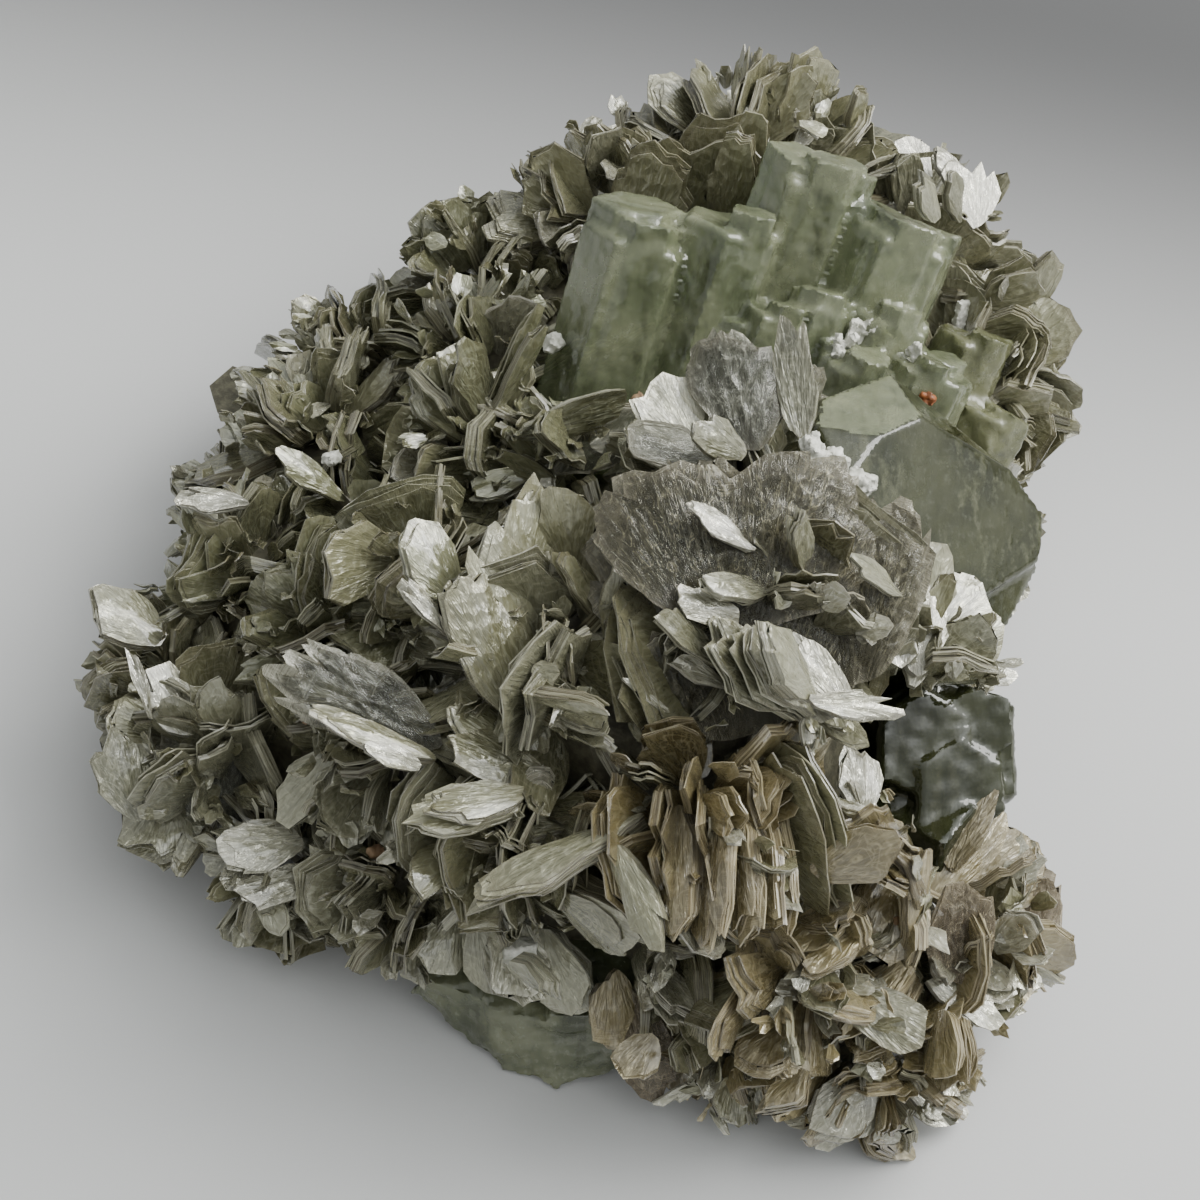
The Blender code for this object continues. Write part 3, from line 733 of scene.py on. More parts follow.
def grow_book(pile, rng, root, along, facing, length, width, leaves, **shape):
    """Add a book: slabs stacked along its facing side, split apart here and there."""
    splay = shape.pop("splay", 0.14)
    layer_height = shape.pop("thickness", LAYER)
    openness = shape.pop("openness", 0.09)
    tone = shape.pop("tone", rng.random())
    six_sided = shape.pop("six_sided", 1.0)
    along = unit(along)
    facing = unit(facing - along * np.dot(facing, along))
    across = np.cross(facing, along)
    root = np.array(root, dtype=float)
    splits = np.flatnonzero(rng.random(leaves) < openness)
    counts = np.diff(np.concatenate(([0], splits[splits > 0], [leaves])))
    counts = counts[counts > 0]
    gaps = rng.uniform(0.0, 0.12, len(counts))
    heights = np.cumsum(counts * layer_height + gaps) - 0.5 * counts * layer_height
    heights = heights - 0.5 * (leaves * layer_height + gaps.sum())
    outline = slab_outline(rng)
    outline["six_sided"] *= six_sided
    for k, layers in enumerate(counts):
        middle = (k + 0.5) / len(counts) - 0.5
        lean = splay * middle * (len(counts) > 1) + rng.normal() * 0.03
        swing = rng.normal() * 0.06
        straight = along * math.cos(swing) + across * math.sin(swing)
        way = straight * math.cos(lean) + facing * math.sin(lean)
        up = unit(facing * math.cos(lean) - straight * math.sin(lean))
        scale = (1 - 0.5 * middle * middle) * rng.uniform(0.86, 1.02)
        grow_slab(pile, rng, root + facing * heights[k], way, up, length * scale, width * scale,
                  outline, layers=int(layers), thickness=layer_height, tone=tone, **shape)


# ------------------------------------------------------- muscovite: the finish
# Fresh mica is khaki to silver, pearly on its cleavage and finely lined on
# its edges, where hundreds of layers end.  Wrinkles run out from the root.
layers, layers_in, layers_out = node_group(
    "mica_layers",
    [("Deep", "NodeSocketColor"), ("Face", "NodeSocketColor"), ("Pale", "NodeSocketColor"),
     ("Edge Dark", "NodeSocketColor"), ("Edge Light", "NodeSocketColor")],
    [("Color", "NodeSocketColor"), ("Gloss Mask", "NodeSocketFloat"),
     ("Silver", "NodeSocketFloat"), ("Height", "NodeSocketFloat"), ("Veil", "NodeSocketFloat")])
marks, rim = added(layers, "Attribute", {}, ("Color", "Alpha"), attribute_name="growth")
book_tone, leaf_tone, reach = added(layers, "SeparateColor", {"Color": marks}, (0, 1, 2))
span = added(layers, "UVMap", {}, uv_map="leaf_span")
patches = noise(added(layers, "TexCoord", {}, "Object"), 230, 2)
wrinkles = noise(stretched(span, (2.1, 0.36, 1)), 1.0, 3, 0.65, 0.8)
flakes = noise(stretched(span, (0.8, 0.42, 1)), 1.0, 2, 0.6, 1.2)
lines = noise(stretched(span, (0.35, 26.0, 1)), 1.0, 2, 0.7)
crumples = added(layers, "TexVoronoi", {"Vector": stretched(span, (1.0, 0.7, 1)), "Scale": 1.0})

# Steps follow the rim like the rings of a pond; threads are the edges of thin flakes.
steps = abs(maths("SINE", reach * 7.0 + patches * 26.0)) ** 14.0
threads = (1.0 - abs((flakes - 0.5) * 2.0)) ** 42.0

# The face's tint, then its pale streaks, then the lined rim.
tone = (book_tone * 0.55 + leaf_tone * 0.25 + patches * 0.9 - 0.38).clamped()
face_colour = blended(tone, layers_in["Deep"], layers_in["Face"])
pale_share = ((wrinkles - 0.48) * 2.2).clamped()
pale_share = (pale_share * 0.3 + steps * 0.14 + threads * 0.55).clamped()
face_colour = blended(pale_share, face_colour, layers_in["Pale"])
edge_share = (leaf_tone * 0.7 + lines * 3.8 - 1.9).clamped()
edge_colour = blended(edge_share, layers_in["Edge Dark"], layers_in["Edge Light"])
rim_share = maths("MAXIMUM", reach ** 9.0 * 0.45, rim).clamped()
feed(layers_out["Color"], blended(rim_share, face_colour, edge_colour))

# How dull, how silvery, how high and how opaque the leaf is from place to place.
gloss = (patches + flakes) * 0.5
silver = ((gloss - 0.35) * 2.0 + threads * 0.8).clamped() * (1.0 - rim)
height = wrinkles + (crumples + lines * rim) * 0.8
veil = ((patches - 0.40) * 2.4).clamped() + (wrinkles - 0.5) * 1.4
veil = maths("MAXIMUM", veil, rim_share).clamped()
for label, value in (("Gloss Mask", gloss), ("Silver", silver), ("Height", height), ("Veil", veil)):
    feed(layers_out[label], value)


def mica_finish(name, deep, face, pale, edge_dark, edge_light, silver_share=0.6, relief=1.0,
                gloss=(0.05, 0.24), clearness=0.0, coat=0.9):
    """A muscovite finish in the tints of one part of the specimen."""
    made, tree, shader = plain_material(
        name, Base_Color=face, Roughness=0.3, IOR=1.55 if clearness else 1.9,
        Coat_Weight=coat, Coat_Roughness=0.08)
    growth = grown_from(tree, layers, {"Deep": deep, "Face": face, "Pale": pale,
                                       "Edge Dark": edge_dark, "Edge Light": edge_light})
    feed(shader.inputs["Base Color"], growth["Color"])
    feed(shader.inputs["Roughness"], growth["Gloss Mask"] * gloss[1] + gloss[0])
    feed(shader.inputs["Metallic"], growth["Silver"] * silver_share)
    embossed(shader, growth["Height"], relief, 0.25 * MM)
    if clearness:
        feed(shader.inputs["Alpha"], (growth["Veil"] * clearness + (1 - clearness)).clamped())
    return made


OLIVE = mica_finish(
    "mica_olive", deep=(0.07, 0.068, 0.034), face=(0.205, 0.203, 0.112), pale=(0.48, 0.49, 0.33),
    edge_dark=(0.10, 0.09, 0.045), edge_light=(0.44, 0.43, 0.28))
KHAKI = mica_finish(
    "mica_khaki", deep=(0.075, 0.07, 0.034), face=(0.235, 0.228, 0.13), pale=(0.55, 0.54, 0.37),
    edge_dark=(0.11, 0.09, 0.045), edge_light=(0.50, 0.48, 0.32))
GREY = mica_finish(
    "mica_grey", deep=(0.08, 0.078, 0.046), face=(0.27, 0.264, 0.17), pale=(0.64, 0.63, 0.47),
    edge_dark=(0.12, 0.11, 0.06), edge_light=(0.62, 0.60, 0.44), silver_share=0.65)
GOLDEN = mica_finish(
    "mica_golden", deep=(0.08, 0.062, 0.026), face=(0.27, 0.222, 0.105), pale=(0.58, 0.51, 0.32),
    edge_dark=(0.12, 0.088, 0.035), edge_light=(0.58, 0.50, 0.30), silver_share=0.6)
SMOKY = mica_finish(
    "mica_smoky", deep=(0.018, 0.016, 0.009), face=(0.055, 0.05, 0.028), pale=(0.36, 0.335, 0.225),
    edge_dark=(0.10, 0.085, 0.05), edge_light=(0.66, 0.62, 0.48), silver_share=0.2,
    gloss=(0.04, 0.22), clearness=0.5, coat=0.0)
CLEAR = mica_finish(
    "mica_clear", deep=(0.03, 0.03, 0.022), face=(0.14, 0.14, 0.10), pale=(0.50, 0.50, 0.42),
    edge_dark=(0.14, 0.12, 0.08), edge_light=(0.62, 0.60, 0.48), silver_share=0.15, relief=0.5,
    gloss=(0.04, 0.22), clearness=0.68, coat=0.0)
# Painted highlight: a lighter, more silvery copy of the grey mica for leaves turned to mirror the
# window, so they read bright beyond their own reflection.
MICA_PAINTED_HIGHLIGHT = mica_finish(
    "mica_painted_highlight", deep=(0.13, 0.123, 0.08), face=(0.36, 0.35, 0.25), pale=(0.92, 0.905, 0.79),
    edge_dark=(0.25, 0.23, 0.16), edge_light=(0.80, 0.77, 0.64), silver_share=0.85, relief=1.3,
    gloss=(0.05, 0.36))
AMBER = mica_finish(
    "mica_amber", deep=(0.05, 0.038, 0.022), face=(0.17, 0.135, 0.085), pale=(0.50, 0.44, 0.32),
    edge_dark=(0.12, 0.09, 0.05), edge_light=(0.55, 0.48, 0.34), silver_share=0.2,
    gloss=(0.04, 0.22), clearness=0.4, coat=0.0)

# ------------------------------------------------------ muscovite: rosettes
# Books of leaves stand out from a common heart in one of four habits: a burst
# of crossed books, a rose of cupped ones, an opened fan, or a standing sheaf.
# Each habit yields the root, way, facing side, length, width and bend of its books.
ROOT_SHARE = 0.3                # share of the radius that lies inside the heart
GOLDEN_TURN = 2.4               # radians between one book and the next around the axis


def frame_about(axis):
    """Two directions square to an axis, the first as level as can be."""
    level = np.cross((0, 0, 1), axis)
    if np.linalg.norm(level) < 0.05:
        level = np.array((1.0, 0, 0))
    level = unit(level)
    return level, unit(np.cross(axis, level))


def leant(axis, turn, tilt):
    """A way leant off the axis by tilt, and the way square to the axis that it leans to."""
    level, rise = frame_about(axis)
    out = level * math.cos(turn) + rise * math.sin(turn)
    return axis * math.cos(tilt) + out * math.sin(tilt), out


def burst_books(heart, axis, radius, count, draw):
    for k in range(count):
        turn = GOLDEN_TURN * k + draw.uniform(-0.3, 0.3)
        along, out = leant(axis, turn, math.radians(12 + 72 * math.sqrt(k / count)))
        roll = draw.uniform(-1.2, 1.2)
        facing = np.cross(axis, out) * math.cos(roll) + (axis * 0.8 - out) * math.sin(roll)
        length = radius * draw.uniform(0.86, 1.04)
        width = radius * draw.uniform(0.6, 0.85)
        bend = draw.uniform(-1, 1)
        yield heart + along * ROOT_SHARE * radius, along, facing, length * (1 - ROOT_SHARE), width, bend


def rose_books(heart, axis, radius, count, draw):
    for k in range(count):
        turn = GOLDEN_TURN * k + draw.uniform(-0.25, 0.25)
        tilt = math.radians(8 + 74 * math.sqrt(k / count))
        along, out = leant(axis, turn, tilt)
        facing = out * math.cos(tilt) - axis * math.sin(tilt)
        length = radius * draw.uniform(0.88, 1.02)
        root = heart + along * ROOT_SHARE * radius + facing * draw.uniform(0, 0.12) * radius
        width = radius * draw.uniform(0.8, 1.05)
        yield root, along, facing, length * (1 - ROOT_SHARE), width, -0.14 * radius


def fan_books(heart, axis, radius, count, draw):
    level, rise = frame_about(axis)
    for k in range(count):
        spread = math.radians(-62 + 124 * k / (count - 1) + draw.uniform(-5, 5))
        lift = draw.uniform(-0.35, 0.35)
        along = axis * math.cos(spread) + level * math.sin(spread) + rise * lift
        facing = level * math.cos(spread) - axis * math.sin(spread) + rise * draw.uniform(-0.7, 0.7)
        root = heart + along * ROOT_SHARE * radius + level * math.sin(spread) * 0.1 * radius
        length = radius * draw.uniform(0.85, 1.05)
        width = radius * draw.uniform(0.65, 0.9)
        yield root, along, facing, length * (1 - ROOT_SHARE), width, draw.uniform(-1, 1)


def sheaf_books(heart, axis, radius, count, draw):
    level, rise = frame_about(axis)
    slant = draw.uniform(-0.6, 0.6)
    stack = unit(level * math.cos(slant) + rise * math.sin(slant))
    for k in range(count):
        step = k / (count - 1) - 0.5
        along = axis + stack * 1.3 * step + rise * draw.uniform(-0.15, 0.15)
        facing = stack - axis * 1.3 * step + rise * draw.uniform(-0.25, 0.25)
        root = heart + stack * step * radius * 0.7
        length = radius * draw.uniform(0.9, 1.05) * (1 - 0.25 * abs(step))
        yield root, along, facing, length, radius * draw.uniform(1.0, 1.3), draw.uniform(-1, 1)


HABITS = {"burst": burst_books, "rose": rose_books, "fan": fan_books, "sheaf": sheaf_books}

# Books stop where a prism is, and those beside a prism leave its open side free.
VIEW_RAY = np.array(TOWARDS_VIEW)
GLANCE = unit(VIEW_RAY + np.array(WINDOW_WAY))     # a face turned this way mirrors the window


def in_beryl(points, prisms, slack=0.92):
    """Which points lie inside a prism."""
    inside = np.zeros(len(points), dtype=bool)
    for foot, top, radius, _ in prisms:
        foot, top = np.array(foot, dtype=float), np.array(top, dtype=float)
        axis = top - foot
        height = np.linalg.norm(axis)
        axis = axis / height
        rise = (points - foot) @ axis
        off = np.linalg.norm(points - foot - np.outer(rise, axis), axis=1)
        inside |= (rise > 0.2 * height) & (rise < height + 0.3) & (off < slack * radius)
    return inside


def meets_beryl(points, open_side):
    """Whether points stand in a prism or, if its open side is kept free, over it."""
    if in_beryl(points, ALL_PRISMS).any():
        return True
    depth = 20 if open_side else 14
    lines = np.concatenate([points - VIEW_RAY * drop for drop in range(2, depth, 2)])
    if open_side:
        return bool(in_beryl(lines, ALL_PRISMS).any())
    return bool(in_beryl(lines, DARK_PRISMS + [FOOT_PRISM], 0.75).any())


def book_points(root, along, facing, length, width):
    """Points over a book's outer part."""
    along = unit(along)
    across = unit(np.cross(facing, along))
    return np.array([root + along * length * a + across * width * b
                     for a in (0.35, 0.7, 1.0) for b in (-0.4, 0, 0.4)])


def fits(root, along, facing, length, width, open_side):
    """The largest of four sizes at which a book keeps clear of the prisms, or 0."""
    for share in (1.0, 0.8, 0.62, 0.45):
        if not meets_beryl(book_points(root, along, facing, length * share, width * share), open_side):
            return share
    return 0


# The bright look is the finish with the painted highlight.
LOOKS = {"face": 0, "clear": 1, "bright": 2, "gold": 3, "second": 4}
GLASSY = {"summit_rosette": SMOKY, "brown_rosette": AMBER, "dark_foot_rosette": AMBER}
BURIED = 1.6                    # how far the root of a smaller book reaches back between the others
LOWEST_ROOT = 1.5


def grow_rosette(name, heart, axis, radius, habit, count, seed, finish, second,
                 leaves=9, fill=26, fill_size=0.75, chips=56, flashes=0.1,
                 open_side=True, skipped=0):
    """Grow one rosette: its main books, smaller ones between them, and single features."""
    heart, axis = np.array(heart, dtype=float), unit(axis)
    rng = np.random.default_rng(seed)
    pile = LeafPile()

    def look_of(flash, second_share):
        """The look of a book: the painted-highlight finish where it flashes, now and then the second
        tint.
        """
        if flash:
            return LOOKS["bright"]
        return LOOKS["second" if rng.random() < second_share else "face"]

    books = HABITS[habit](heart, axis, radius, count, random.Random(seed))
    for root, along, facing, length, width, bend in list(books)[skipped:]:
        share = fits(root, along, facing, length, width, open_side)
        if share:
            grow_book(pile, rng, root, along, facing, length * share, width * share, leaves,
                      look=look_of(False, 0.35), bend=bend, cup=rng.uniform(-0.05, 0.16) * width,
                      splay=0.12, twist=rng.uniform(-0.06, 0.06) * length)

    # smaller books fill the room between the main ones
    for k in range(fill):
        turn = GOLDEN_TURN * (k + 0.5) + rng.uniform(-0.4, 0.4)
        along, out = leant(axis, turn, math.radians(4 + 98 * math.sqrt((k + 0.5) / fill)))
        roll = rng.uniform(-1.5, 1.5)
        facing = np.cross(along, out) * math.cos(roll) + out * math.sin(roll) + 0.3 * rng.normal(size=3)
        length = radius * fill_size * rng.uniform(0.5, 0.85)
        width = length * rng.uniform(0.4, 1.1)
        root = heart + along * radius * rng.uniform(0.36, 0.56)
        along = along + 0.25 * rng.normal(size=3)
        flash = rng.random() < 0.5 * flashes
        if flash:
            facing = GLANCE + 0.15 * rng.normal(size=3)
        share = fits(root, along, facing, length, width, open_side)
        if share and root[2] > LOWEST_ROOT:
            grow_book(pile, rng, root - unit(along) * BURIED, along, facing,
                      length * share + BURIED, width * share, int(rng.integers(4, leaves)),
                      look=look_of(flash, 0.35), bend=rng.uniform(-0.2, 0.2) * length,
                      cup=rng.uniform(-0.08, 0.2) * width, splay=0.12,
                      twist=rng.uniform(-0.1, 0.1) * length)

    # chips sit on what has grown so far
    for _ in range(chips):
        away = unit(rng.normal(size=3) + 1.1 * axis)
        place = pile.nearest(heart + away * radius * rng.uniform(0.38, 0.8))
        along = unit(away + 0.7 * rng.normal(size=3))
        flash = rng.random() < flashes
        facing = GLANCE + 0.25 * rng.normal(size=3) if flash else rng.normal(size=3)
        length = rng.uniform(1.5, 3.8) * (1.3 if flash else 1.0)
        width = length * rng.uniform(0.35, 1.0)
        share = fits(place, along, facing, length, width, open_side)
        if share and place[2] > LOWEST_ROOT:
            grow_book(pile, rng, place, along, facing, length * share, width * share,
                      int(rng.integers(1, 4)), look=look_of(flash, 0.5),
                      bend=rng.uniform(-0.3, 0.3), cup=rng.uniform(-0.2, 0.3),
                      ragged=0.07, openness=0.3, splay=0.5, thickness=0.11)

    # single leaves that stand out
    for root, tip, width, roll, leaf_count, look in FEATURES.get(name, ()):
        root = np.array(root)
        along = np.array(tip) - root
        length = np.linalg.norm(along)
        if look == "bright":
            root = 0.3 * root + 0.7 * pile.nearest(root)
            along = along - 0.9 * GLANCE * GLANCE.dot(along)
        along = unit(along)
        root, length = root - along * 0.5 * BURIED, length + 0.5 * BURIED
        front = GLANCE if look == "bright" else VIEW_RAY
        front = unit(front - along * front.dot(along))
        side = np.cross(along, front)
        roll = math.radians(0.4 * roll if look == "bright" else roll)
        facing = front * math.cos(roll) + side * math.sin(roll)
        glassy = look == "clear" and width > 8
        grow_book(pile, rng, root, along, facing, length, width, leaf_count, look=LOOKS[look],
                  bend=-0.06 * length, cup=(-0.12 if glassy else -0.07) * width, waist=0.62,
                  ragged=0.055 if look == "bright" else 0.03,
                  crinkle=0.35 if glassy else 0.0, six_sided=0.15 if glassy else 1.0)
    place_piece(pile.to_mesh(name + "_leaves"), name + "_leaves",
                [finish, GLASSY.get(name, CLEAR), MICA_PAINTED_HIGHLIGHT, GOLDEN, second], name)


# Single large leaves: root, tip, width, degrees turned from the front, number
# of leaves in the book, and look.
FEATURES = {
    "standing_plates": [
        ((13.2, -0.7, 48.3), (12.8, 8.3, 55.8), 10.5, 6, 3, "clear"),
        ((18.7, -0.4, 48.5), (17.6, 9.8, 55.6), 4.6, -22, 5, "face"),
        ((12.5, -4.2, 50.8), (8.4, -4.0, 55.9), 4.0, 25, 4, "face"),
        ((9.4, -3.6, 50.0), (1.1, -3.1, 52.8), 6.5, 38, 3, "clear"),
        ((8.2, -0.7, 48.3), (5.1, 4.6, 52.0), 7.5, 20, 3, "face"),
    ],
    "crossed_blades": [
        ((-10.9, 13.1, 35.6), (-4.6, 17.9, 45.0), 3.4, 62, 6, "face"),
        ((-10.3, 21.9, 27.7), (10.9, 23.6, 36.2), 3.6, 60, 6, "face"),
        ((-7.7, 7.0, 40.1), (4.0, 8.7, 43.8), 5.0, 40, 4, "face"),
        ((-3.9, 6.3, 35.0), (6.6, 10.7, 40.5), 6.0, 25, 3, "clear"),
    ],
    "nested_rosette": [
        ((-12.9, 13.2, 32.5), (-18.2, 17.7, 39.3), 7.5, 30, 6, "face"),
        ((-11.9, 12.9, 33.9), (-14.5, 17.8, 41.0), 6.0, 35, 6, "face"),
        ((-10.9, 12.6, 35.0), (-11.7, 16.8, 42.9), 5.0, 40, 5, "face"),
        ((-10.0, 14.5, 32.6), (-7.7, 18.7, 39.2), 5.0, -40, 5, "face"),
    ],
    "summit_rosette": [
        ((13.6, -26.5, 39.0), (14.0, -4.5, 53.4), 29, 0, 2, "clear"),
        ((12.6, -20.2, 46.1), (13.0, -6.3, 54.5), 26, 4, 2, "clear"),
        ((22.4, -22.6, 41.1), (23.6, -8.2, 51.4), 13, -12, 3, "clear"),
        ((25.2, -14.4, 45.3), (27.3, -9.7, 51.0), 5.4, -8, 3, "clear"),
        ((8.0, -25.4, 39.2), (4.4, -20.5, 46.3), 9.0, 10, 3, "clear"),
        ((13.2, -15.4, 51.9), (12.0, -15.6, 59.1), 2.4, 20, 3, "bright"),
        ((12.2, -19.8, 48.7), (11.3, -20.7, 55.4), 3.6, -10, 3, "bright"),
        ((10.3, -22.7, 44.8), (4.8, -21.5, 53.0), 3.0, 30, 6, "face"),
        ((17.8, -26.9, 42.4), (10.8, -22.7, 52.6), 8.0, 55, 12, "face"),
        ((17.8, -28.5, 47.7), (14.3, -25.3, 57.3), 5.0, 58, 8, "face"),
        ((21.1, -27.1, 42.8), (18.2, -23.3, 51.6), 4.6, -25, 4, "bright"),
        ((23.2, -27.3, 43.1), (21.3, -24.3, 51.3), 4.6, -18, 4, "bright"),
        ((18.2, -29.9, 48.8), (25.5, -31.8, 53.5), 3.0, 30, 5, "bright"),
        ((26.2, -16.4, 46.6), (22.1, -17.0, 52.3), 2.0, 30, 3, "face"),
        ((23.0, -18.8, 44.1), (22.5, -19.3, 49.9), 3.0, 0, 2, "clear"),
        ((5.7, -25.7, 42.6), (5.5, -25.8, 47.4), 1.1, 0, 2, "bright"),
        ((10.0, -24.7, 43.2), (8.8, -25.2, 48.9), 2.2, 10, 2, "bright"),
        ((4.5, -25.5, 36.3), (2.0, -20.3, 44.9), 3.6, 60, 8, "face"),
        ((17.1, -13.3, 45.7), (13.4, -14.1, 51.3), 3.0, 45, 5, "face"),
        ((17.7, -15.3, 50.0), (17.3, -14.7, 56.5), 3.0, 50, 5, "face"),
        ((14.2, -17.4, 48.3), (8.6, -18.8, 53.4), 3.5, 50, 5, "face"),
    ],
    "left_summit_rosette": [
        ((-2.6, -10.0, 42.0), (-2.5, -5.8, 49.8), 7.4, 8, 4, "face"),
        ((-7.2, -13.6, 41.4), (-5.5, -5.1, 48.6), 7.0, 30, 5, "face"),
        ((-5.9, -24.8, 35.9), (-11.4, -12.6, 49.3), 8.0, 22, 5, "face"),
        ((-5.5, -24.7, 34.2), (-9.8, -12.7, 48.7), 6.5, 28, 4, "face"),
        ((-6.4, -24.9, 35.0), (-8.1, -15.3, 49.1), 4.5, -38, 4, "bright"),
        ((1.1, -18.4, 40.0), (3.0, -11.7, 50.8), 5.4, 16, 6, "face"),
        ((0.2, -15.2, 40.9), (-4.3, -13.2, 48.4), 3.4, 35, 5, "face"),
        ((-13.7, -17.3, 42.6), (-13.7, -17.2, 48.9), 2.0, -10, 3, "bright"),
        ((-5.8, -24.6, 43.2), (1.3, -28.9, 45.1), 2.6, 65, 6, "face"),
        ((-5.4, -24.2, 38.5), (1.6, -28.5, 40.4), 2.2, 65, 5, "face"),
        ((-5.5, -25.6, 33.2), (-13.7, -22.8, 38.9), 6.5, 35, 5, "face"),
        ((-5.4, -27.7, 33.1), (-13.4, -26.9, 38.6), 5.5, 30, 5, "face"),
    ],
    "ear_plates": [
        ((28.6, -19.3, 38.8), (30.9, -12.2, 47.4), 6.0, -12, 4, "bright"),
        ((27.7, -20.5, 37.1), (31.6, -15.0, 43.4), 4.0, -30, 4, "bright"),
    ],
    "crown_rosette_east": [
        ((39.3, 40.3, 34.0), (40.7, 44.8, 40.9), 7.0, -6, 4, "bright"),
        ((34.6, 46.5, 34.0), (33.8, 48.4, 39.0), 4.6, -10, 4, "bright"),
        ((37.8, 46.3, 34.7), (36.5, 46.9, 38.8), 3.4, 10, 4, "bright"),
        ((32.9, 30.6, 45.2), (32.1, 31.2, 50.5), 3.0, 40, 5, "face"),
        ((37.2, 40.0, 35.2), (36.6, 40.5, 40.4), 3.0, 45, 5, "face"),
    ],
    "crown_rosette_west": [
        ((4.0, 40.0, 30.0), (8.0, 42.0, 44.0), 10.0, 0, 8, "face"),
        ((10.0, 42.0, 30.0), (14.0, 43.0, 46.0), 10.0, 10, 8, "face"),
        ((13.0, 40.0, 32.0), (15.0, 40.0, 48.0), 7.0, -15, 8, "face"),
    ],
    "crown_rosette_peak": [
        ((18.0, 54.1, 34.5), (20.9, 59.5, 40.7), 5.0, 28, 5, "face"),
        ((16.9, 48.5, 37.7), (17.2, 49.4, 43.3), 2.6, 10, 4, "bright"),
        ((22.9, 54.4, 34.2), (25.2, 57.9, 39.0), 2.4, 55, 6, "face"),
        ((26.5, 49.8, 37.6), (28.5, 51.8, 42.6), 2.8, 50, 6, "face"),
    ],
    "east_rosette_upper": [
        ((45.9, 36.5, 25.6), (48.6, 38.0, 31.6), 4.5, 30, 8, "face"),
        ((40.4, 30.9, 27.3), (47.2, 28.9, 29.6), 6.0, 45, 8, "face"),
        ((40.3, 32.9, 29.8), (46.1, 33.0, 33.5), 6.0, 40, 7, "face"),
    ],
    "east_rosette_lower": [
        ((40.7, 23.7, 24.6), (47.0, 21.6, 26.8), 5.0, 55, 8, "face"),
        ((40.7, 22.8, 18.9), (46.1, 21.7, 21.7), 5.0, 55, 8, "face"),
    ],
    "lobed_rosette": [
        ((-15.3, -9.6, 26.5), (-20.2, -3.3, 35.8), 9.6, 14, 3, "face"),
        ((-13.1, -14.5, 42.7), (-17.5, -10.3, 49.2), 6.5, 35, 5, "face"),
    ],
    "leaf_rosette": [
        ((-15.9, -24.5, 34.0), (-28.2, -19.8, 42.2), 8.5, 10, 3, "clear"),
        ((-15.4, -26.7, 34.8), (-26.8, -23.1, 41.0), 3.0, 50, 5, "face"),
        ((-16.4, -28.7, 35.1), (-18.0, -29.2, 40.9), 2.6, 0, 3, "bright"),
    ],
    "west_discs": [
        ((-37.5, -18.7, 8.9), (-41.6, -11.5, 18.8), 11.5, 4, 3, "clear"),
        ((-40.1, -13.4, 19.0), (-42.7, -8.5, 26.1), 8.5, 12, 4, "bright"),
        ((-45.1, -19.9, 13.7), (-48.0, -13.7, 20.4), 7.0, 20, 4, "face"),
        ((-44.8, -14.0, 23.0), (-44.7, -11.9, 29.4), 1.6, -20, 3, "bright"),
    ],
    "far_west_rosette": [
        ((-44.8, -2.4, 18.4), (-51.1, 0.6, 22.9), 7.0, 35, 7, "face"),
        ((-45.8, -2.1, 14.4), (-52.0, -3.2, 16.0), 6.0, 40, 7, "face"),
    ],
    "silver_foot_book": [
        ((-29.2, -24.3, 15.9), (-35.8, -27.4, 19.8), 6.0, 0, 3, "bright"),
        ((-27.5, -26.4, 13.7), (-34.2, -29.9, 17.3), 4.5, 15, 3, "bright"),
        ((-30.3, -23.0, 15.7), (-35.0, -25.1, 20.3), 3.5, -20, 3, "bright"),
        ((-32.1, -29.3, 13.2), (-30.2, -33.0, 13.0), 3.6, 10, 3, "face"),
    ],
    "west_rosette": [
        ((-35.8, 6.8, 29.6), (-41.2, 5.5, 33.6), 3.0, 30, 4, "bright"),
        ((-26.0, 6.5, 30.7), (-31.3, 8.5, 37.0), 3.0, 30, 5, "face"),
        ((-41.4, 21.8, 14.7), (-34.1, 23.0, 20.4), 2.4, 55, 5, "face"),
    ],
    "front_sheaf": [
        ((-7.2, -30.9, 34.9), (-17.9, -32.5, 37.5), 5.0, 40, 10, "face"),
        ((-3.7, -30.1, 28.2), (-16.3, -31.0, 31.3), 5.0, 45, 10, "face"),
        ((2.8, -34.6, 36.4), (-11.7, -41.7, 35.1), 4.6, 45, 10, "face"),
    ],
    "front_books": [
        ((-3.6, -35.3, 28.2), (3.6, -42.8, 26.6), 7.0, 55, 14, "face"),
        ((1.8, -37.1, 36.6), (4.3, -45.5, 34.4), 4.0, 30, 5, "face"),
    ],
    "front_foot_rosette": [
        ((-11.6, -32.5, 13.9), (-5.2, -39.3, 14.1), 7.5, 0, 3, "bright"),
        ((-10.6, -31.0, 15.2), (-3.7, -36.0, 17.8), 4.5, 20, 5, "bright"),
        ((-7.4, -38.9, 19.1), (-3.7, -43.4, 18.4), 5.0, 60, 8, "face"),
        ((-11.0, -33.0, 16.0), (-7.4, -39.5, 12.4), 9.0, 10, 6, "face"),
        ((-14.0, -31.0, 13.0), (-15.0, -37.2, 10.5), 7.0, -15, 6, "face"),
        ((-17.0, -29.0, 11.0), (-19.5, -34.5, 7.6), 6.0, 20, 6, "face"),
        ((-5.0, -34.0, 15.0), (-1.5, -41.0, 10.5), 7.0, 25, 7, "face"),
        ((-8.5, -34.0, 17.0), (-6.5, -40.6, 14.0), 7.0, 0, 4, "bright"),
    ],
    "compressed_folds": [
        ((7.9, -34.6, 37.6), (5.9, -45.8, 34.7), 5.0, 50, 12, "face"),
        ((11.5, -33.3, 38.8), (9.7, -46.6, 34.4), 6.0, 55, 14, "face"),
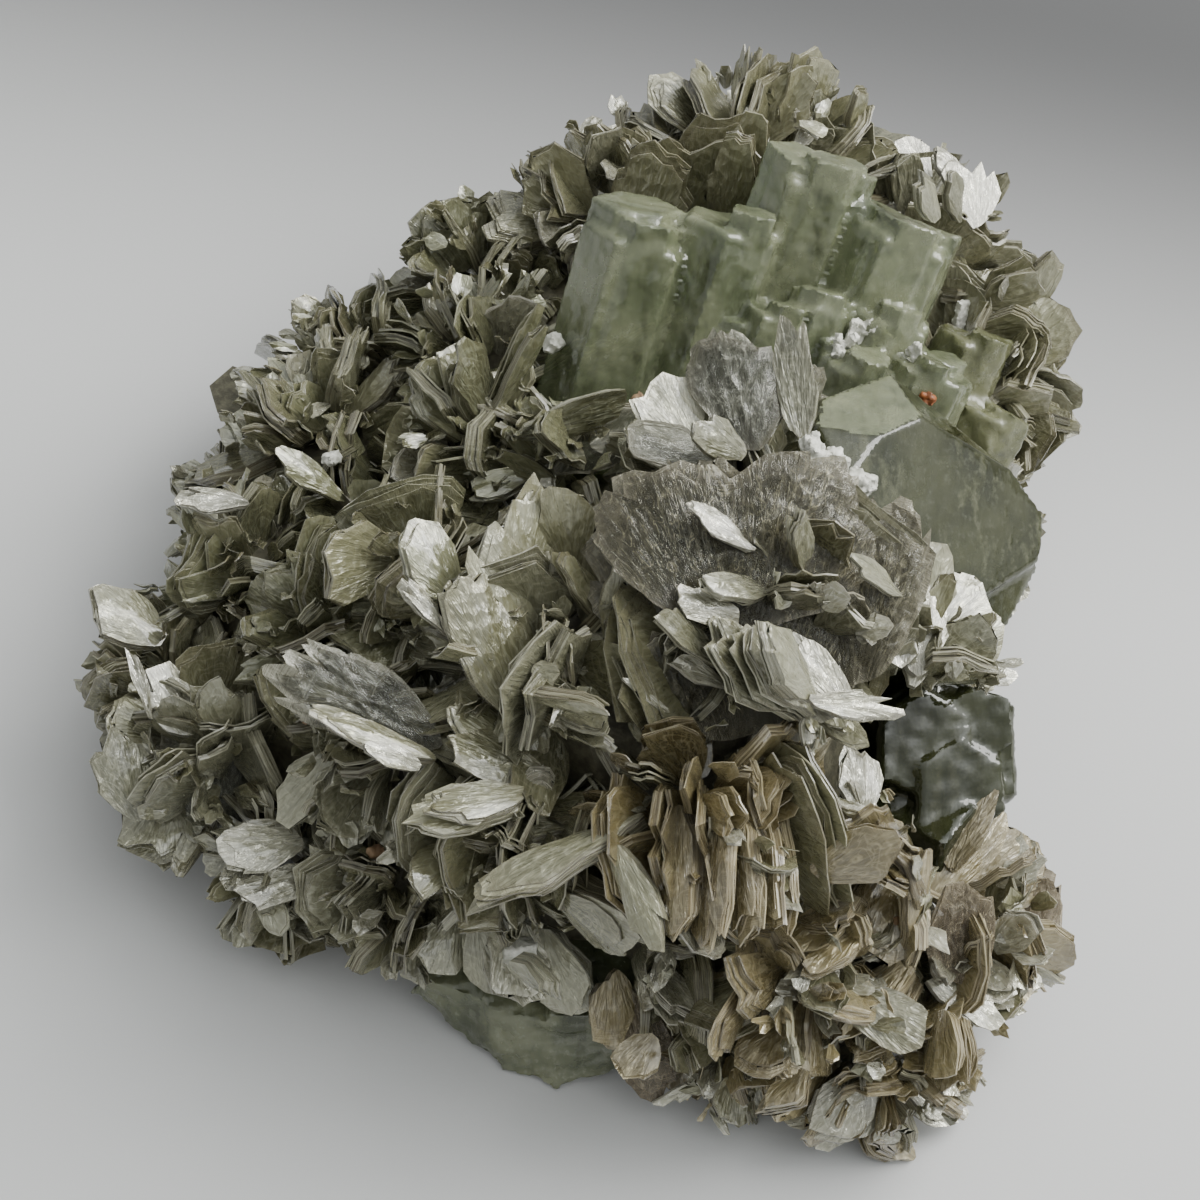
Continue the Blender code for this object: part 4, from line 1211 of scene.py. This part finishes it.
        ((15.1, -32.2, 37.0), (13.9, -44.2, 33.5), 5.0, 60, 12, "face"),
        ((8.8, -33.3, 38.8), (12.0, -37.2, 42.2), 4.0, 30, 6, "face"),
    ],
    "golden_rosette": [
        ((22.9, -42.4, 21.1), (15.1, -44.2, 23.6), 4.4, 5, 4, "bright"),
        ((22.7, -37.4, 27.0), (16.5, -42.4, 27.2), 5.0, 45, 9, "gold"),
        ((23.6, -39.6, 26.3), (17.8, -43.8, 27.0), 4.0, 45, 8, "gold"),
    ],
    "southeast_rosette": [
        ((24.1, -29.7, 30.0), (25.9, -28.0, 37.3), 5.0, -12, 4, "bright"),
        ((19.5, -37.8, 34.3), (26.3, -36.6, 40.0), 6.0, 10, 4, "face"),
        ((27.9, -39.2, 24.2), (29.2, -33.7, 32.9), 2.6, 40, 5, "face"),
        ((32.0, -31.0, 18.0), (39.5, -22.6, 19.5), 8.0, 20, 6, "face"),
        ((33.0, -29.0, 20.0), (36.6, -20.0, 24.0), 6.0, -25, 5, "face"),
        ((34.0, -30.0, 15.0), (42.8, -24.4, 16.5), 8.0, 10, 6, "face"),
    ],
    "brown_rosette": [
        ((33.5, -40.1, 16.9), (32.9, -33.0, 25.5), 8.0, 8, 3, "clear"),
        ((39.6, -36.0, 7.7), (42.6, -26.7, 15.7), 9.5, 12, 4, "clear"),
        ((35.5, -34.0, 12.0), (43.0, -30.0, 13.5), 9.0, 0, 6, "face"),
        ((30.7, -40.2, 16.0), (37.3, -43.2, 20.0), 4.4, -8, 3, "bright"),
        ((27.5, -37.4, 16.9), (23.7, -38.0, 22.6), 2.2, 0, 3, "bright"),
    ],
    "south_tip_rosette": [
        ((28.6, -39.1, 17.7), (20.3, -47.3, 16.9), 6.0, 50, 12, "gold"),
        ((29.1, -34.0, 9.7), (26.6, -42.7, 8.5), 5.0, 50, 10, "gold"),
        ((32.3, -43.8, 17.1), (31.4, -50.7, 15.9), 6.0, 60, 12, "face"),
        ((24.6, -49.9, 5.8), (28.4, -47.2, 11.4), 3.4, 25, 5, "bright"),
        ((29.3, -49.8, 0.2), (24.8, -47.1, 4.5), 5.0, 40, 8, "face"),
    ],
    "dark_foot_rosette": [
        ((16.6, -44.8, 17.1), (12.3, -49.1, 16.6), 6.5, 40, 7, "face"),
        ((18.4, -48.5, 14.2), (14.7, -52.3, 12.7), 5.0, 40, 6, "face"),
        ((4.7, -44.9, 14.7), (1.8, -49.0, 14.3), 5.5, 15, 4, "face"),
        ((3.4, -38.5, 11.0), (4.6, -46.8, 4.0), 6.5, 10, 5, "clear"),
        ((1.0, -37.0, 13.0), (1.6, -44.0, 8.0), 6.0, -20, 7, "face"),
        ((8.0, -38.0, 10.0), (8.0, -46.0, 4.0), 7.0, 30, 7, "face"),
    ],
}

# Each rosette: its node, heart, axis, radius, habit, number of main books, seed and finish.
ROSETTES = [
    ("crown_rosette_west", (2, 47, 25), (-0.25, 0.5, 0.85), 15, "fan", 5, 11, KHAKI),
    ("crown_rosette_peak", (18, 50, 28), (0.1, 0.5, 0.85), 17, "fan", 6, 12, KHAKI),
    ("crown_rosette_east", (33, 43, 23), (0.35, 0.4, 0.8), 15, "rose", 5, 13, GREY),
    ("east_rosette_upper", (39, 29, 20), (0.8, 0.3, 0.5), 14, "burst", 6, 14, KHAKI),
    ("east_rosette_lower", (36, 15, 15), (0.8, 0, 0.6), 12, "burst", 5, 15, KHAKI),
    ("north_rosette", (-12, 43, 18), (-0.4, 0.5, 0.75), 14, "burst", 5, 16, OLIVE),
    ("north_rosette_inner", (-12, 28, 24), (-0.2, 0.1, 1), 13, "burst", 5, 17, OLIVE),
    ("northwest_book", (-27, 34, 14), (-0.55, 0.5, 0.65), 13, "sheaf", 4, 18, OLIVE),
    ("nested_rosette", (-12, 13, 27), (-0.1, -0.3, 0.95), 12, "rose", 5, 19, OLIVE),
    ("northwest_rosette", (-28, 21, 19), (-0.5, 0.2, 0.85), 14, "burst", 5, 20, OLIVE),
    ("west_crest_book", (-37, 19, 11), (-0.8, 0.3, 0.5), 11, "burst", 5, 21, OLIVE),
    ("west_rosette", (-35, 5, 17), (-0.6, 0, 0.8), 13, "burst", 5, 22, OLIVE),
    ("far_west_rosette", (-43, -3, 10), (-0.85, -0.1, 0.5), 11, "rose", 5, 23, KHAKI),
    ("west_fan", (-26, -6, 23), (-0.4, -0.4, 0.8), 12, "burst", 5, 24, OLIVE),
    ("lobed_rosette", (-16, -4, 29), (-0.3, -0.3, 0.9), 13, "rose", 4, 25, OLIVE),
    ("crossed_blades", (-3, 9, 31), (-0.1, 0.1, 1), 13, "burst", 4, 47, OLIVE),
    ("standing_plates", (14, 3, 36), (0, -0.1, 1), 14, "fan", 3, 27, GREY),
    ("summit_rosette", (15, -16, 38), (0.1, -0.45, 0.85), 18, "rose", 6, 28, GREY),
    ("left_summit_rosette", (-4, -17, 34), (-0.35, -0.5, 0.8), 15, "rose", 4, 29, KHAKI),
    ("ear_plates", (28, -16, 32), (0.75, -0.35, 0.6), 12, "fan", 3, 30, GREY),
    ("west_discs", (-38, -13, 12), (-0.6, -0.6, 0.55), 13, "rose", 4, 31, GREY),
    ("silver_foot_book", (-30, -23, 9), (-0.5, -0.75, 0.45), 10, "rose", 4, 32, GREY),
    ("leaf_rosette", (-20, -17, 23), (-0.4, -0.65, 0.65), 12, "burst", 5, 33, KHAKI),
    ("southwest_rosette", (-19, -27, 12), (-0.35, -0.8, 0.45), 10, "sheaf", 4, 34, KHAKI),
    ("front_sheaf", (-8, -28, 25), (-0.3, -0.75, 0.6), 12, "sheaf", 4, 35, KHAKI),
    ("front_books", (3, -35, 15), (-0.1, -0.9, 0.4), 11, "sheaf", 4, 36, KHAKI),
    ("front_foot_rosette", (-8, -37, 14), (-0.3, -0.9, 0.3), 9, "rose", 4, 37, GREY),
    ("compressed_folds", (10, -31, 32), (0.05, -0.8, 0.6), 13, "sheaf", 5, 38, GOLDEN),
    ("golden_rosette", (18, -38, 19), (0.2, -0.85, 0.45), 13, "burst", 5, 39, GOLDEN),
    ("southeast_rosette", (29, -30, 25), (0.5, -0.6, 0.6), 12, "burst", 5, 40, GOLDEN),
    ("brown_rosette", (34, -32, 13), (0.7, -0.65, 0.3), 12, "rose", 5, 41, GOLDEN),
    ("south_tip_rosette", (27, -42, 8), (0.35, -0.9, 0.25), 12, "burst", 5, 42, GOLDEN),
    ("dark_foot_rosette", (13, -40, 8), (0.0, -0.95, 0.3), 10, "burst", 5, 43, GOLDEN),
    ("back_rosette_east", (24, 48, 10), (0.3, 0.9, 0.25), 14, "burst", 5, 44, KHAKI),
    ("back_rosette_west", (-4, 46, 9), (-0.2, 0.9, 0.25), 14, "rose", 5, 45, OLIVE),
    ("east_foot_rosette", (32, 1, 8), (0.95, 0, 0.3), 10, "rose", 5, 46, KHAKI),
]
NEAR_BERYL = ("standing_plates", "summit_rosette", "left_summit_rosette", "ear_plates",
              "southeast_rosette", "brown_rosette", "compressed_folds", "east_foot_rosette")
SECOND_TINT = {"mica_olive": KHAKI, "mica_khaki": GREY, "mica_grey": KHAKI, "mica_golden": KHAKI}
for rosette in ROSETTES:
    node, heart, finish = rosette[0], rosette[1], rosette[-1]
    room_kept = {"skipped": 3, "fill_size": 0.5} if node == "summit_rosette" else {}
    # Rosettes on the right, towards the window, get more flashing leaves with the painted highlight.
    grow_rosette(*rosette, SECOND_TINT[finish.name], open_side=node not in NEAR_BERYL,
                 flashes=0.26 if heart[0] > 0 else 0.1, **room_kept)

# ------------------------------------------------------------ white albite
# Lumps of white, sugary albite have grown between the prisms and at the edge
# of the summit, with a spot of orange iron stain and rusty grains in hollows.
def grain_finish(name, light, shade, roughness, relief):
    """A mottled, sugary mineral finish between two tints."""
    made, tree, shader = plain_material(name, Base_Color=light, Roughness=roughness)
    place = added(tree, "TexCoord", {}, "Object")
    mottle = noise(place, 900, 4, 0.65)
    grains = noise(place, 2600, 2, 0.6)
    share = ((mottle - 0.38) * 3.0).clamped()
    feed(shader.inputs["Base Color"], blended(share, shade, light))
    embossed(shader, mottle + grains * 0.4, relief, 0.2 * MM)
    return made


ALBITE = grain_finish("albite", (0.80, 0.79, 0.73), (0.42, 0.42, 0.36), 0.45, 0.7)
STAIN = grain_finish("iron_stain", (0.34, 0.11, 0.03), (0.16, 0.05, 0.015), 0.5, 0.5)
RUST = grain_finish("rusty_grains", (0.30, 0.20, 0.11), (0.13, 0.075, 0.04), 0.6, 0.6)


def grow_lumps(name, spots, seed, finish, crisp=False):
    """Grains grown together; a spot is its place, spread, half sizes of a grain and their count."""
    draw = random.Random(seed)
    made = bmesh.new()
    for place, spread, grain, count in spots:
        for k in range(count):
            shift = Vector([draw.uniform(-1, 1) * reach for reach in spread])
            size = Vector([half * draw.uniform(0.6, 1.25) for half in grain])
            lie = Euler((-0.45 + draw.uniform(-0.3, 0.3), 0.35 + draw.uniform(-0.3, 0.3),
                         draw.uniform(-1.5, 1.5))).to_matrix()
            add_hull(made, [Vector(place) + shift + lie @ (size * Vector(corner))
                            for corner in itertools.product((-1, 1), repeat=3)])
    mesh = fused(made, 0.2, crisp)
    for vertex in mesh.vertices:
        vertex.co += vertex.normal * 0.18 * MM * fractal(vertex.co / MM * 2.3, 1, 2, 3)
    place_piece(shaded(mesh), name, [finish])


FROST_SPOTS = [
    ((20.6, -3.0, 48.3), (1.6, 0.9, 1.3), (0.7, 0.5, 0.7), 22),
    ((19.0, -1.9, 49.2), (0.9, 0.7, 0.9), (0.5, 0.4, 0.7), 12),
    ((24.2, -3.3, 45.6), (0.9, 0.5, 0.8), (0.7, 0.6, 0.8), 9),
    ((-4.6, 21.4, 35.4), (0.5, 0.5, 0.6), (0.6, 0.6, 0.7), 4),
    ((-7.6, -36.0, 16.2), (1.2, 0.8, 1.0), (0.9, 0.8, 0.8), 7),
    ((-27.0, 12.2, 29.4), (0.6, 0.5, 0.5), (0.6, 0.6, 0.5), 4),
]
SPLINTER_SPOTS = [
    ((25.8, 21.0, 37.4), (2.6, 1.0, 1.6), (0.3, 0.3, 1.3), 30),
    ((24.2, 17.6, 39.8), (1.3, 0.8, 0.8), (0.4, 0.3, 0.9), 9),
    ((30.9, 18.0, 39.2), (0.5, 0.4, 0.5), (0.4, 0.3, 0.8), 4),
    ((37.8, 31.6, 27.2), (0, 0, 0), (1.5, 0.4, 2.6), 1),
]
STAIN_SPOTS = [((32.2, 13.6, 37.0), (0.5, 0.4, 0.5), (0.4, 0.3, 0.4), 6)]
RUST_PLACES = [(-27.5, -17.0, 27.0), (-21.0, -27.8, 20.2), (-15.4, -10.2, 31.2),
               (-24.0, -9.0, 29.0), (3.4, 11.2, 39.3), (26.8, -37.0, 23.6)]
RUST_SPOTS = [(place, (0.6, 0.5, 0.6), (0.45, 0.4, 0.45), 7) for place in RUST_PLACES]
grow_lumps("albite_lumps", FROST_SPOTS, 71, ALBITE)
grow_lumps("albite_splinters", SPLINTER_SPOTS, 74, ALBITE, crisp=True)
grow_lumps("iron_stain_spot", STAIN_SPOTS, 72, STAIN)
grow_lumps("rusty_grains_lumps", RUST_SPOTS, 73, RUST)

# ------------------------------------------------------------ muscovite bed
# The bed is a dark mass of small intergrown mica, trimmed flat underneath.
# Small books have grown straight from it wherever no rosette covers it.
BED_BOOKS = 500
bed_finish = grain_finish("mica_bed", (0.15, 0.14, 0.09), (0.06, 0.055, 0.035), 0.55, 0.8)
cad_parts["muscovite_bed"].material_slots[0].material = bed_finish
bed_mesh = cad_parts["muscovite_bed"].data
bed_corners = np.array([[bed_mesh.vertices[i].co[:] for i in p.vertices] for p in bed_mesh.polygons
                        if len(p.vertices) == 3]) / MM
bed_normals = np.cross(bed_corners[:, 1] - bed_corners[:, 0], bed_corners[:, 2] - bed_corners[:, 0])
bed_areas = np.linalg.norm(bed_normals, axis=1)
bed_normals = bed_normals / bed_areas[:, None]
scatter = np.random.default_rng(5)
scales = LeafPile()
spots = scatter.choice(len(bed_areas), size=BED_BOOKS, p=bed_areas / bed_areas.sum())
for spot in spots:
    shares = scatter.dirichlet((1, 1, 1))
    seat = shares @ bed_corners[spot]
    normal = bed_normals[spot]
    covered = any(np.linalg.norm(seat - heart) < 0.5 * radius for _, heart, _, radius, *_ in ROSETTES)
    if covered or normal[2] < -0.6 or seat[2] < 1.0:
        continue
    along = unit(normal * 0.8 + 0.75 * scatter.normal(size=3))
    if along.dot(normal) < 0.2:
        along = unit(along + normal)
    facing = scatter.normal(size=3)
    length = scatter.uniform(3.5, 7.0)
    width = length * scatter.uniform(0.6, 1.1)
    share = fits(seat - normal, along, facing, length, width, True)
    if share:
        grow_book(scales, scatter, seat - normal, along, facing, length * share, width * share, 3,
                  bend=scatter.uniform(-0.5, 0.5), cup=scatter.uniform(-0.2, 0.5), openness=0.4)
place_piece(scales.to_mesh("muscovite_bed_scales"), "muscovite_bed_scales", [OLIVE])
